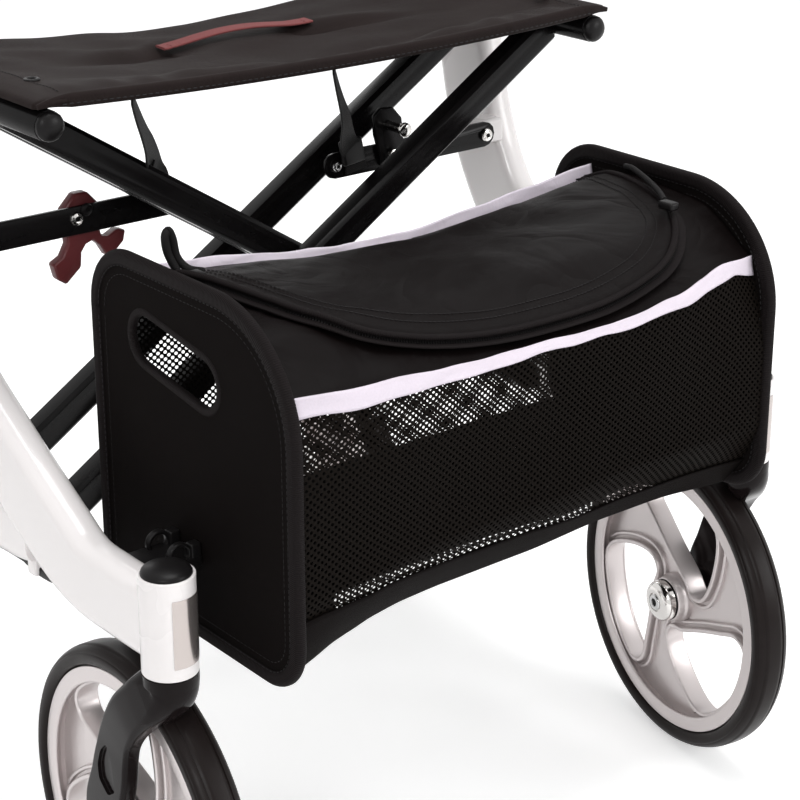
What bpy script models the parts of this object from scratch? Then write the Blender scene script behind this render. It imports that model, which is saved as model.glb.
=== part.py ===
"""A cross-folding rollator, built piece by piece. Metres, +Z up, the user walks towards -Y."""

import math

import bmesh
import bpy
from mathutils import Matrix, Vector

# Flat faces are made of one polygon when they turn less than this
FLAT_ANGLE = math.radians(0.2)

# Clearances
SEAT_GAP = 0.0003
RUNNING_GAP = 0.0005

# Wheels
FRONT_WHEEL_RADIUS = 0.127
REAR_WHEEL_RADIUS = 0.1015
TYRE_WIDTH = 0.030
TYRE_DEPTH = 0.0135
RIM_WIDTH = 0.025
RIM_DEPTH = 0.013
HUB_RADIUS = 0.021
HUB_REACH = 0.0150
AXLE_RADIUS = 0.006
AXLE_CAP_RADIUS = 0.0170
AXLE_CAP_HEIGHT = 0.0185
AXLE_NUT_RADIUS = 0.0095
AXLE_NUT_HEIGHT = 0.0050
AXLE_NUT_DOME = 0.0045
SPOKE_COUNT = 3
SPOKE_THICKNESS = 0.011
WHEEL_SIDES = 26
WHEEL_TURN = {"right": math.radians(-19), "left": 0.0}

# The hole between two spokes. Each point is an angle in degrees and a share of the way from hub to rim
WHEEL_HOLE = (
    (3, 0.10), (6, 0.29), (-10, 0.58), (-24, 0.90), (-36, 0.985), (-62, 0.985), (-84, 0.975),
    (-91, 0.82), (-86, 0.56), (-70, 0.26), (-32, 0.10),
)

# Casters
HEAD_TUBE_RADIUS = 0.0185
HEAD_TUBE_BORE = 0.0135
HEAD_TUBE_HEIGHT = 0.0685
HEAD_CAP_HEIGHT = 0.0150
STEM_RADIUS = 0.0060
STEM_BEARING_RADIUS = 0.0130
COLLAR_HEIGHT = 0.0150
CASTER_TRAIL = 0.063
WHEEL_OFFSET = 0.009
FORK_GAP = 0.0045
FORK_THICKNESS = 0.0125
FORK_HUB_RADIUS = 0.0245
CASTER_TURN = {"right": math.radians(-2.0), "left": math.radians(-11.0)}

# Side frames
FRAME_THICKNESS = 0.027
FRAME_HALF_DEPTH = 0.0325
FRAME_ROUNDING = 0.0095
WHEEL_TO_FRAME = 0.0235
HEAD_Y = -0.2875
UPRIGHT_BASE_Y = 0.0483
UPRIGHT_BASE_RISE = 0.2720
UPRIGHT_LENGTH = 0.1733
UPRIGHT_LEAN = math.radians(10.4)

# The main tube and the leg. Each point is (behind the head tube, above the frame's bottom, half the depth)
MAIN_TUBE_LINE = (
    (0.008, 0.0280, 0.0280), (0.055, 0.0272, 0.0282), (0.092, 0.0285, 0.0290),
    (0.125, 0.0410, 0.0320), (0.173, 0.0675, 0.0325), (0.237, 0.1060, 0.0325),
    (0.281, 0.1365, 0.0325), (0.305, 0.1715, 0.0325), (0.3175, 0.2000, 0.0325),
    (0.327, 0.2300, 0.0325),
)
LEG_LINE = (
    (0.120, 0.0220, 0.0220), (0.170, 0.0230, 0.0230), (0.240, 0.0280, 0.0270),
    (0.315, 0.0275, 0.0280), (0.375, 0.0090, 0.0260),
)
LEG_HALF_DEPTH = 0.0225

# Points about the rear axle: an angle in degrees and a distance beyond the tyre
LEG_LAST = ((127.3, 0.0947), (123.8, 0.0585))
CARRIER_REAR_EDGE = ((109.2, 0.0399), (100.0, -0.0066), (77.8, -0.0519))
CARRIER_FRONT_EDGE = ((127.0, -0.0408), (128.5, 0.0053))
SHOE_PIVOT = (121.0, 0.0190)
SHOE_ANGLE = 136.0

# Rear wheels and their carriers
REAR_AXLE_Y = 0.2515
CARRIER_THICKNESS = 0.012
CARRIER_HUB_RADIUS = 0.022
CARRIER_BLOCK_LENGTH = 0.024
SHOE_GAP = 0.0045
SHOE_LENGTH = 0.026
SHOE_THICKNESS = 0.008
SHOE_PIVOT_RADIUS = 0.0045

# Cross frame
TUBE_HALF_SPACING = 0.2425
SEAT_TUBE_HEIGHT = 0.592
SEAT_TUBE_RADIUS = 0.0105
SEAT_TUBE_FRONT = -0.1265
SEAT_TUBE_LENGTH = 0.225
SEAT_CAP_LENGTH = 0.0070
TUBE_TO_FRAME = 0.0020
PIVOT_RISE = 0.0043
PIVOT_TUBE_RADIUS = 0.0080
PIVOT_TUBE_FRONT = -0.1180
PIVOT_TUBE_LENGTH = 0.163
BAR_HEIGHT = 0.0235
BAR_THICKNESS = 0.020
BAR_A_FRONT_Y = -0.0775
BAR_A_REAR_Y = 0.0115
BAR_B_FRONT_Y = -0.0570
BAR_B_REAR_Y = -0.0235
CENTRE_PIN_RADIUS = 0.004
CENTRE_PIN_HEAD = 0.0075
LUG_LENGTH = 0.0155
LUG_HALF_SIZE = 0.0125

# Fold links with the clip and its catch
LINK_ON_BAR = 0.090
LINK_HEIGHT = 0.021
LINK_THICKNESS = 0.003
LINK_Y = -0.0110
LINK_PIVOT_X = 0.2330
LINK_PIN_RADIUS = 0.003
LINK_BOLT_RADIUS = 0.0062
LINK_BOLT_HEAD = 0.0022
CLIP_THICKNESS = 0.0095
CLIP_PIVOT_X = 0.1480
CLIP_PIVOT_RISE = 0.0040
CATCH_THICKNESS = 0.004
CATCH_X = 0.1300
CATCH_PIN_RADIUS = 0.0040
CATCH_PIN_LENGTH = 0.022

# Handles and brakes
HANDLE_TUBE_RADIUS = 0.011
HANDLE_DEPTH = 0.120
HANDLE_TRAVEL_DOWN = 0.050
HANDLE_RISE = 0.130
HANDLE_BEND_RADIUS = 0.045
HANDLE_PITCH = math.radians(8)
HANDLE_GRIP_RUN = 0.150
GRIP_LENGTH = 0.112
GRIP_RADIUS = 0.017
BRAKE_CLAMP_LENGTH = 0.022
BRAKE_CLAMP_WALL = 0.0055
LEVER_DROP = 0.024
LEVER_LENGTH = 0.110
LEVER_THICKNESS = 0.008
LEVER_PIN_RADIUS = 0.003
CHEEK_THICKNESS = 0.0045
KNOB_RADIUS = 0.017
KNOB_LENGTH = 0.014
KNOB_STUD_RADIUS = 0.004
KNOB_BELOW_TOP = 0.026

# Seat
SEAT_OVERHANG = 0.0117
SEAT_THICKNESS = 0.010
SEAT_PAD_DEPTH = 0.008
SEAT_FRONT = -0.1345
SEAT_REAR = 0.1000
SEAT_SAG = 0.020
SEAT_HEM_SAG = 0.006
SEAT_ROLL = 0.004
PULL_STRAP_LENGTH = 0.130
PULL_STRAP_WIDTH = 0.022
PULL_STRAP_RISE = 0.010
PULL_STRAP_THICKNESS = 0.002
WEBBING_WIDTH = 0.024
WEBBING_THICKNESS = 0.0016
WEBBING_GAP = 0.0012

# Shares of the distance from the middle to a seat tube
WEBBING_RIGHT_TOP = 0.693
WEBBING_RIGHT_FOOT = 0.429
WEBBING_LEFT_TOP = 0.0165

# Bag
BAG_HALF_WIDTH = 0.2150
BAG_FRONT = -0.3535
BAG_REAR = -0.1215
BAG_BOTTOM = 0.2595
BAG_TOP = 0.5110
BAG_PANEL_THICKNESS = 0.005
BAG_WALL = 0.003
BAG_CORNERS = (0.030, 0.035, 0.085, 0.045)
GRIP_SLOT_LENGTH = 0.100
GRIP_SLOT_HEIGHT = 0.034
GRIP_SLOT_Y = -0.2200
GRIP_SLOT_BELOW_TOP = 0.0605
GRIP_SLOT_TILT = math.radians(9)
BAG_CLIP_Y = -0.2300
BAG_CLIP_Z = 0.3350

# Back strap
BACK_STRAP_HEIGHT = 0.050
BACK_STRAP_THICKNESS = 0.010
BACK_STRAP_DEPTH = 0.100
BACK_STRAP_BELOW_TOP = 0.036

# Worked out from the sizes above
FRAME_X = TUBE_HALF_SPACING + SEAT_TUBE_RADIUS + TUBE_TO_FRAME + FRAME_THICKNESS / 2
FRAME_INNER_X = FRAME_X - FRAME_THICKNESS / 2
FRAME_OUTER_X = FRAME_X + FRAME_THICKNESS / 2
FRAME_BOTTOM = 2 * FRONT_WHEEL_RADIUS + WHEEL_TO_FRAME
HEAD_BOTTOM = FRAME_BOTTOM - 0.003
HEAD_TOP = HEAD_BOTTOM + HEAD_TUBE_HEIGHT
WHEEL_X = FRAME_X - WHEEL_OFFSET
FORK_INNER_X = WHEEL_X + TYRE_WIDTH / 2 + FORK_GAP
UPRIGHT_DIRECTION = Vector((0, math.sin(UPRIGHT_LEAN), math.cos(UPRIGHT_LEAN)))
UPRIGHT_BASE = Vector((0, UPRIGHT_BASE_Y, FRAME_BOTTOM + UPRIGHT_BASE_RISE))
UPRIGHT_TOP = UPRIGHT_BASE + UPRIGHT_LENGTH * UPRIGHT_DIRECTION
PIVOT_Z = FRAME_BOTTOM + PIVOT_RISE
CROSS_ANGLE = math.atan2(SEAT_TUBE_HEIGHT - PIVOT_Z, 2 * TUBE_HALF_SPACING)
CENTRE_Z = (SEAT_TUBE_HEIGHT + PIVOT_Z) / 2
LINK_INNER_X = LINK_ON_BAR * math.cos(CROSS_ANGLE)
LINK_Z = CENTRE_Z + LINK_ON_BAR * math.sin(CROSS_ANGLE)
SEAT_EDGE_Z = SEAT_TUBE_HEIGHT + SEAT_TUBE_RADIUS + SEAT_GAP
SIDES = (("right", -1), ("left", 1))


def clear_scene():
    for item in list(bpy.data.objects):
        bpy.data.objects.remove(item)


def collection(name):
    group = bpy.data.collections.new(name)
    bpy.context.scene.collection.children.link(group)
    return group


clear_scene()
PARTS = collection("rollator")
CUTTERS = collection("cutters")


def material(name, colour, roughness, metallic=0.0):
    made = bpy.data.materials.new(name)
    made.use_nodes = True
    shader = made.node_tree.nodes["Principled BSDF"]
    shader.inputs["Base Color"].default_value = (*colour, 1)
    shader.inputs["Roughness"].default_value = roughness
    shader.inputs["Metallic"].default_value = metallic
    made.diffuse_color = (*colour, 1)
    return made


WHITE_PAINT = material("white_paint", (0.90, 0.89, 0.89), 0.28)
BLACK_PAINT = material("black_paint", (0.012, 0.011, 0.012), 0.30)
BLACK_PLASTIC = material("black_plastic", (0.016, 0.015, 0.015), 0.35)
RED_PLASTIC = material("red_plastic", (0.16, 0.022, 0.026), 0.40)
STEEL = material("steel", (0.72, 0.72, 0.72), 0.22, 1.0)
RIM_SILVER = material("rim_silver", (0.62, 0.61, 0.62), 0.34, 0.75)
RUBBER = material("rubber", (0.020, 0.019, 0.019), 0.80)
GRIP_RUBBER = material("grip_rubber", (0.018, 0.018, 0.018), 0.72)
SEAT_FABRIC = material("seat_fabric", (0.022, 0.020, 0.022), 0.78)
BAG_FABRIC = material("bag_fabric", (0.012, 0.011, 0.011), 0.85)
STRAP_RED = material("strap_red", (0.17, 0.025, 0.030), 0.70)


def add_object(name, mesh, look=None, group=PARTS):
    made = bpy.data.objects.new(name, mesh)
    group.objects.link(made)
    if look is not None:
        mesh.materials.clear()
        mesh.materials.append(look)
    return made


def smooth_faces(item, angle=math.radians(35)):
    item.data.shade_smooth()
    item.data.set_sharp_from_angle(angle=angle)


def as_mesh(item, weld=0.00002):
    """Turns a curve object into a closed mesh object of the same name."""
    bpy.context.view_layer.update()
    seen = item.evaluated_get(bpy.context.evaluated_depsgraph_get())
    mesh = bpy.data.meshes.new_from_object(seen)
    shape = bmesh.new()
    shape.from_mesh(mesh)
    bmesh.ops.remove_doubles(shape, verts=shape.verts, dist=weld)
    bmesh.ops.dissolve_limit(
        shape, angle_limit=FLAT_ANGLE, verts=shape.verts, edges=shape.edges,
    )
    bmesh.ops.recalc_face_normals(shape, faces=shape.faces)
    shape.to_mesh(mesh)
    shape.free()
    name = item.name
    group = item.users_collection[0]
    place = item.matrix_world.copy()
    bpy.data.objects.remove(item)
    made = bpy.data.objects.new(name, mesh)
    made.matrix_world = place
    group.objects.link(made)
    return made


def join(piece, other, operation="UNION"):
    """Adds or removes another closed mesh with a Boolean modifier."""
    for group in list(other.users_collection):
        group.objects.unlink(other)
    CUTTERS.objects.link(other)
    other.hide_render = True
    other.display_type = "WIRE"
    step = piece.modifiers.new(operation.title(), "BOOLEAN")
    step.operation = operation
    step.object = other
    return piece


def cut(piece, other):
    return join(piece, other, "DIFFERENCE")


def soften(piece, width, segments=2, angle=math.radians(40)):
    step = piece.modifiers.new("Bevel", "BEVEL")
    step.width = width
    step.segments = segments
    step.limit_method = "ANGLE"
    step.angle_limit = angle
    return piece


def box(name, centre, size, look=None, group=PARTS, turn=0.0):
    """A box, turned about X by an angle."""
    shape = bmesh.new()
    bmesh.ops.create_cube(shape, size=1)
    bmesh.ops.scale(shape, vec=size, verts=shape.verts)
    mesh = bpy.data.meshes.new(name)
    shape.to_mesh(mesh)
    shape.free()
    made = add_object(name, mesh, look, group)
    made.rotation_euler.x = turn
    made.location = centre
    return made


def cylinder(name, start, end, radius, look=None, group=PARTS, sides=24, end_radius=None):
    """A cylinder or cone between two points."""
    start, end = Vector(start), Vector(end)
    shape = bmesh.new()
    bmesh.ops.create_cone(
        shape, cap_ends=True, segments=sides, radius1=radius,
        radius2=radius if end_radius is None else end_radius, depth=(end - start).length,
    )
    mesh = bpy.data.meshes.new(name)
    shape.to_mesh(mesh)
    shape.free()
    made = add_object(name, mesh, look, group)
    made.rotation_mode = "QUATERNION"
    made.rotation_quaternion = (end - start).to_track_quat("Z", "Y")
    made.location = (start + end) / 2
    smooth_faces(made)
    return made


def turned(name, profile, start, direction, look, sides=24, closed=True):
    """A solid turned about the line from start along direction. The profile lists (radius, distance)."""
    area = sum(a[0] * b[1] - b[0] * a[1] for a, b in zip(profile, profile[1:] + profile[:1]))
    if area > 0:
        profile = profile[::-1]
    mesh = bpy.data.meshes.new(name)
    shape = bmesh.new()
    corners = [shape.verts.new((radius, 0, along)) for radius, along in profile]
    for first, second in zip(corners, corners[1:]):
        shape.edges.new((first, second))
    if closed:
        shape.edges.new((corners[-1], corners[0]))
    shape.to_mesh(mesh)
    shape.free()
    made = add_object(name, mesh, look)
    step = made.modifiers.new("Screw", "SCREW")
    step.axis = "Z"
    step.steps = step.render_steps = sides
    step.use_merge_vertices = True
    step.merge_threshold = 0.00001
    made.rotation_mode = "QUATERNION"
    made.rotation_quaternion = Vector(direction).to_track_quat("Z", "Y")
    made.location = start
    return made


def flat_outline(name, points, thickness, look=None, group=PARTS):
    """A closed flat outline, extruded evenly about its own plane."""
    curve = bpy.data.curves.new(name, "CURVE")
    curve.dimensions = "2D"
    curve.fill_mode = "BOTH"
    curve.extrude = thickness / 2
    line = curve.splines.new("POLY")
    line.points.add(len(points) - 1)
    for point, (across, up) in zip(line.points, points):
        point.co = (across, up, 0, 1)
    line.use_cyclic_u = True
    made = bpy.data.objects.new(name, curve)
    group.objects.link(made)
    solid = as_mesh(made)
    if look is not None:
        solid.data.materials.clear()
        solid.data.materials.append(look)
    return solid


def side_plate(name, points, thickness, x, look=None, group=PARTS):
    """An outline in the side view: its points are (y, z)."""
    made = flat_outline(name, points, thickness, look, group)
    made.matrix_world = Matrix(((0, 0, 1, x), (1, 0, 0, 0), (0, 1, 0, 0), (0, 0, 0, 1)))
    return made


def front_plate(name, points, thickness, y, look=None, group=PARTS):
    """An outline in the front view: its points are (x, z)."""
    made = flat_outline(name, points, thickness, look, group)
    made.matrix_world = Matrix(((1, 0, 0, 0), (0, 0, -1, y), (0, 1, 0, 0), (0, 0, 0, 1)))
    return made


def smooth_line(points, steps=2):
    """Points on a smooth curve through the given ones."""
    ends = [2 * Vector(points[0]) - Vector(points[1])]
    ends += [Vector(point) for point in points]
    ends += [2 * Vector(points[-1]) - Vector(points[-2])]
    line = []
    for a, b, c, d in zip(ends, ends[1:], ends[2:], ends[3:]):
        for step in range(steps):
            t = step / steps
            line.append(
                0.5 * (2 * b + (c - a) * t + (2 * a - 5 * b + 4 * c - d) * t ** 2
                       + (3 * b - a - 3 * c + d) * t ** 3)
            )
    line.append(ends[-2])
    return line


def band(centres, steps=2):
    """The outline of a band. Each centre is (across, up, half its depth)."""
    line = smooth_line(centres, steps)
    upper, lower = [], []
    for index, point in enumerate(line):
        before = line[max(index - 1, 0)]
        after = line[min(index + 1, len(line) - 1)]
        run = Vector((after.x - before.x, after.y - before.y)).normalized()
        side = Vector((-run.y, run.x)) * point.z
        upper.append((point.x + side.x, point.y + side.y))
        lower.append((point.x - side.x, point.y - side.y))
    return upper + lower[::-1]


def arc(centre, radius, first, last, steps):
    """Points of an arc, with its angles in degrees from the first axis."""
    angles = [math.radians(first + (last - first) * step / steps) for step in range(steps + 1)]
    return [(centre[0] + radius * math.cos(a), centre[1] + radius * math.sin(a)) for a in angles]


def rounded_box(low, high, corners, steps=5):
    """A box outline whose four corner radii start at the upper rear and go round by the front."""
    left, bottom = low
    right, top = high
    rear_low, front_low, front_top, rear_top = corners
    return (
        arc((right - rear_top, top - rear_top), rear_top, 0, 90, steps)
        + arc((left + front_top, top - front_top), front_top, 90, 180, steps)
        + arc((left + front_low, bottom + front_low), front_low, 180, 270, steps)
        + arc((right - rear_low, bottom + rear_low), rear_low, 270, 360, steps)
    )


def oblong(centre, length, height, tilt=0.0, steps=6):
    """An outline with two round ends."""
    half = (length - height) / 2
    points = arc((half, 0), height / 2, -90, 90, steps) + arc((-half, 0), height / 2, 90, 270, steps)
    turn = Matrix.Rotation(tilt, 2)
    return [tuple(Vector(centre) + turn @ Vector(point)) for point in points]


def upright_point(along, across=0.0, x=0.0):
    """A point on the straight upright, measured from its top, with a step square to it."""
    sideways = Vector((0, math.cos(UPRIGHT_LEAN), -math.sin(UPRIGHT_LEAN)))
    return UPRIGHT_TOP + along * UPRIGHT_DIRECTION + across * sideways + Vector((x, 0, 0))


def around_axle(place):
    """A point (y, z) about the rear axle, from its angle and its distance beyond the tyre."""
    angle, beyond = place
    reach = REAR_WHEEL_RADIUS + beyond
    return Vector((
        REAR_AXLE_Y + reach * math.cos(math.radians(angle)),
        REAR_WHEEL_RADIUS + reach * math.sin(math.radians(angle)),
    ))


def main_tube_centres():
    """The line of the main tube from the head tube to the top of the upright."""
    line = [(HEAD_Y + back, FRAME_BOTTOM + rise, half) for back, rise, half in MAIN_TUBE_LINE]
    line.append((UPRIGHT_BASE.y, UPRIGHT_BASE.z, FRAME_HALF_DEPTH))
    line.append((UPRIGHT_TOP.y, UPRIGHT_TOP.z, FRAME_HALF_DEPTH))
    return line


def leg_centres():
    """The line of the rear leg, under the main tube and down towards the rear wheel."""
    line = [(HEAD_Y + back, FRAME_BOTTOM + rise, half) for back, rise, half in LEG_LINE]
    for place in LEG_LAST:
        point = around_axle(place)
        line.append((point.x, point.y, LEG_HALF_DEPTH))
    return line


def leg_end():
    """The middle of the leg's lower end and the way it points."""
    before, last = leg_centres()[-2:]
    way = Vector((last[0] - before[0], last[1] - before[1])).normalized()
    return Vector(last[:2]), way


def make_main_tube(label, side):
    tube = side_plate(
        f"main_tube_{label}", band(main_tube_centres()), FRAME_THICKNESS,
        side * FRAME_X, WHITE_PAINT,
    )
    soften(tube, FRAME_ROUNDING, 2, math.radians(50))
    lug = box(
        f"link_lug_{label}",
        (side * (LINK_PIVOT_X - 0.011 + FRAME_INNER_X + 0.004) / 2,
         LINK_Y + LINK_THICKNESS / 2 + SEAT_GAP + 0.0105, LINK_Z),
        (FRAME_INNER_X + 0.004 - LINK_PIVOT_X + 0.011, 0.021, 0.020), WHITE_PAINT,
    )
    join(tube, lug)
    cut(tube, cylinder(
        f"head_cut_{label}", (side * FRAME_X, HEAD_Y, HEAD_BOTTOM - 0.02),
        (side * FRAME_X, HEAD_Y, HEAD_TOP + 0.02), HEAD_TUBE_RADIUS + SEAT_GAP, sides=32,
    ))
    bore_depth = HANDLE_DEPTH + HANDLE_TRAVEL_DOWN + 0.004
    cut(tube, cylinder(
        f"handle_bore_{label}", upright_point(-bore_depth, x=side * FRAME_X),
        upright_point(0.02, x=side * FRAME_X), HANDLE_TUBE_RADIUS + SEAT_GAP, sides=20,
    ))
    cut(tube, cylinder(
        f"stud_bore_{label}", upright_point(-KNOB_BELOW_TOP, x=side * FRAME_X),
        upright_point(-KNOB_BELOW_TOP, x=side * (FRAME_OUTER_X + 0.01)),
        KNOB_STUD_RADIUS + SEAT_GAP, sides=16,
    ))
    pin_y = LINK_Y + LINK_THICKNESS / 2
    cut(tube, cylinder(
        f"link_bore_{label}", (side * LINK_PIVOT_X, pin_y - 0.01, LINK_Z),
        (side * LINK_PIVOT_X, pin_y + 0.0155, LINK_Z), LINK_PIN_RADIUS + SEAT_GAP, sides=16,
    ))
    return tube


def make_rear_leg(label, side):
    leg = side_plate(
        f"rear_leg_{label}", band(leg_centres()), FRAME_THICKNESS, side * FRAME_X, WHITE_PAINT,
    )
    soften(leg, FRAME_ROUNDING, 2, math.radians(50))
    above = [(y, z, half + SEAT_GAP) for y, z, half in main_tube_centres()]
    cut(leg, side_plate(
        f"leg_cut_{label}", band(above), FRAME_THICKNESS + 0.02, side * FRAME_X,
    ))
    lug_inner = TUBE_HALF_SPACING - LUG_HALF_SIZE
    lug_outer = FRAME_INNER_X + 0.006
    for place, y in (("front", BAR_A_FRONT_Y - BAR_THICKNESS / 2 - RUNNING_GAP - LUG_LENGTH / 2),
                     ("rear", BAR_A_REAR_Y + BAR_THICKNESS / 2 + RUNNING_GAP + LUG_LENGTH / 2)):
        lug = box(
            f"pivot_lug_{place}_{label}", (side * (lug_inner + lug_outer) / 2, y, PIVOT_Z + 0.003),
            (lug_outer - lug_inner, LUG_LENGTH, 2 * LUG_HALF_SIZE + 0.006), WHITE_PAINT,
        )
        join(leg, lug)
    cut(leg, cylinder(
        f"pivot_bore_{label}", (side * TUBE_HALF_SPACING, PIVOT_TUBE_FRONT - 0.02, PIVOT_Z),
        (side * TUBE_HALF_SPACING, PIVOT_TUBE_FRONT + PIVOT_TUBE_LENGTH + 0.02, PIVOT_Z),
        PIVOT_TUBE_RADIUS + SEAT_GAP, sides=20,
    ))
    return leg


def make_head_tube(label, side):
    outer, inner, rim = HEAD_TUBE_RADIUS, HEAD_TUBE_BORE, 0.001
    tube = turned(
        f"head_tube_{label}",
        [(inner, 0), (inner, HEAD_TUBE_HEIGHT), (outer - rim, HEAD_TUBE_HEIGHT),
         (outer, HEAD_TUBE_HEIGHT - rim), (outer, rim), (outer - rim, 0)],
        (side * FRAME_X, HEAD_Y, HEAD_BOTTOM), (0, 0, 1), WHITE_PAINT, 24,
    )
    profile = [(0, HEAD_CAP_HEIGHT)]
    profile += [
        ((outer - rim) * math.sin(math.radians(a)), HEAD_CAP_HEIGHT * math.cos(math.radians(a)))
        for a in (30, 60, 90)
    ]
    profile += [(inner - SEAT_GAP, 0), (inner - SEAT_GAP, -0.008), (0, -0.008)]
    turned(
        f"head_cap_{label}", profile, (side * FRAME_X, HEAD_Y, HEAD_TOP + SEAT_GAP),
        (0, 0, 1), BLACK_PLASTIC, 18, closed=False,
    )
    return tube


def caster_pivot(label, side):
    """An empty on the swivel axis that carries the caster at its photographed angle."""
    pivot = bpy.data.objects.new(f"caster_pivot_{label}", None)
    PARTS.objects.link(pivot)
    pivot.location = (side * FRAME_X, HEAD_Y, 0)
    pivot.rotation_euler.z = CASTER_TURN[label]
    return pivot


def hole_outline(inner, turn):
    """The outline of the hole between two spokes."""
    outline = []
    for angle, share in WHEEL_HOLE:
        reach = HUB_RADIUS + (inner - HUB_RADIUS) * share
        at = math.radians(angle) + turn
        outline.append((reach * math.cos(at), reach * math.sin(at)))
    return outline


def wheel(name, tyre_name, radius, centre, turn):
    """A rim with three swirled spokes and its tyre."""
    flat = 1 / math.cos(math.pi / WHEEL_SIDES)
    outer = (radius - TYRE_DEPTH) * flat
    half = RIM_WIDTH / 2
    inner = outer - RIM_DEPTH
    rim = turned(
        name,
        [(outer - 0.0005, -half), (inner, -half + 0.001), (inner + 0.005, 0),
         (inner, half - 0.001), (outer - 0.0005, half), (outer - 0.004, 0)],
        (0, 0, 0), (0, 0, 1), RIM_SILVER, WHEEL_SIDES,
    )
    join(rim, cylinder(
        f"{name}_web", (0, 0, -SPOKE_THICKNESS / 2), (0, 0, SPOKE_THICKNESS / 2), inner + 0.006,
        sides=WHEEL_SIDES,
    ))
    join(rim, cylinder(
        f"{name}_hub", (0, 0, -HUB_REACH), (0, 0, HUB_REACH), HUB_RADIUS, sides=16,
    ))
    for index in range(SPOKE_COUNT):
        at = turn - math.pi / WHEEL_SIDES + 2 * math.pi / SPOKE_COUNT * index
        outline = hole_outline(inner, at)
        cut(rim, flat_outline(f"{name}_hole_{index}", outline, 2 * RIM_WIDTH))
    cut(rim, cylinder(
        f"{name}_bore", (0, 0, -2 * HUB_REACH), (0, 0, 2 * HUB_REACH), AXLE_RADIUS + SEAT_GAP, sides=16,
    ))
    tread = radius * flat
    seat = outer + SEAT_GAP
    wide = TYRE_WIDTH / 2
    tyre = turned(
        tyre_name,
        [(seat - 0.004, 0), (seat, half + 0.0005), (seat + 0.002, wide), (tread - 0.005, wide),
         (tread, wide * 0.5), (tread, -wide * 0.5), (tread - 0.005, -wide),
         (seat + 0.002, -wide), (seat, -half - 0.0005)],
        (0, 0, 0), (0, 0, 1), RUBBER, WHEEL_SIDES,
    )
    place_wheel = (
        Matrix.Translation(centre)
        @ Matrix.Rotation(math.pi / 2, 4, "Y")
        @ Matrix.Rotation(math.pi / WHEEL_SIDES, 4, "Z")
    )
    helpers = [step.object for step in rim.modifiers if step.type == "BOOLEAN"]
    for item in helpers:
        item.matrix_world = place_wheel @ item.matrix_basis
    for item in (rim, tyre):
        item.matrix_world = place_wheel
    return [rim, tyre] + helpers


def make_caster(label, side):
    pivot = caster_pivot(label, side)
    head_x = 0.0
    collar_low = HEAD_BOTTOM - SEAT_GAP - COLLAR_HEIGHT
    collar_top = HEAD_BOTTOM - SEAT_GAP
    arm_inner = side * (FORK_INNER_X - FRAME_X)
    arm_middle = arm_inner + side * FORK_THICKNESS / 2
    axle_z = FRONT_WHEEL_RADIUS
    crown = collar_top - 0.001
    front_edge = [
        (-0.0150, crown), (-0.0125, crown - 0.0215), (0.0050, crown - 0.0475),
        (0.0152, crown - 0.0705), (0.0237, crown - 0.0890), (0.0345, crown - 0.1170),
    ]
    hub = arc((CASTER_TRAIL, axle_z), FORK_HUB_RADIUS, 190, 360, 8)
    rear_edge = [
        (0.0823, crown - 0.1170), (0.0690, crown - 0.0840), (0.0569, crown - 0.0560),
        (0.0410, crown - 0.0290), (0.0260, crown - 0.0110), (0.0170, crown),
    ]
    fork = side_plate(
        f"caster_fork_{label}", front_edge + hub + rear_edge, FORK_THICKNESS, arm_middle,
        BLACK_PLASTIC,
    )
    soften(fork, 0.0025, 1)
    join(fork, cylinder(
        f"fork_collar_{label}", (head_x, 0, collar_low), (head_x, 0, collar_top),
        HEAD_TUBE_RADIUS, sides=28,
    ))
    bridge_outer = side * (FORK_INNER_X - FRAME_X + FORK_THICKNESS - 0.003)
    join(fork, box(
        f"fork_bridge_{label}", (bridge_outer / 2, 0.002, collar_low + 0.0060),
        (abs(bridge_outer), 0.030, 0.0105),
    ))
    join(fork, cylinder(
        f"fork_stem_{label}", (head_x, 0, collar_low + 0.004), (head_x, 0, HEAD_TOP - 0.012),
        STEM_RADIUS, sides=16,
    ))
    for level in (HEAD_BOTTOM + 0.002, HEAD_TOP - 0.020):
        join(fork, cylinder(
            f"fork_bearing_{label}_{level:.3f}", (head_x, 0, level), (head_x, 0, level + 0.007),
            STEM_BEARING_RADIUS, sides=16,
        ))
    recess_x = arm_inner + side * (FORK_THICKNESS + 0.0025)
    recess = side_plate(
        f"fork_recess_{label}",
        [(0.040, crown - 0.0900), (0.047, crown - 0.0700), (0.054, crown - 0.0640),
         (0.058, crown - 0.0760), (0.064, crown - 0.0950), (0.060, crown - 0.1100),
         (0.049, crown - 0.1100)],
        0.010, recess_x,
    )
    cut(fork, recess)
    cut(fork, cylinder(
        f"fork_axle_bore_{label}", (arm_inner - side * 0.03, CASTER_TRAIL, axle_z),
        (arm_inner + side * 0.03, CASTER_TRAIL, axle_z), AXLE_RADIUS + SEAT_GAP, sides=16,
    ))
    wheel_x = side * (WHEEL_X - FRAME_X)
    wheel_parts = wheel(
        f"front_rim_{label}", f"front_tyre_{label}", FRONT_WHEEL_RADIUS,
        (wheel_x, CASTER_TRAIL, axle_z), WHEEL_TURN[label],
    )
    axle = make_axle(
        f"front_axle_{label}", side, wheel_x, arm_inner + side * FORK_THICKNESS,
        CASTER_TRAIL, axle_z,
    )
    helpers = [step.object for step in fork.modifiers if step.type == "BOOLEAN"]
    for item in [fork, axle] + helpers + wheel_parts:
        item.parent = pivot


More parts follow.
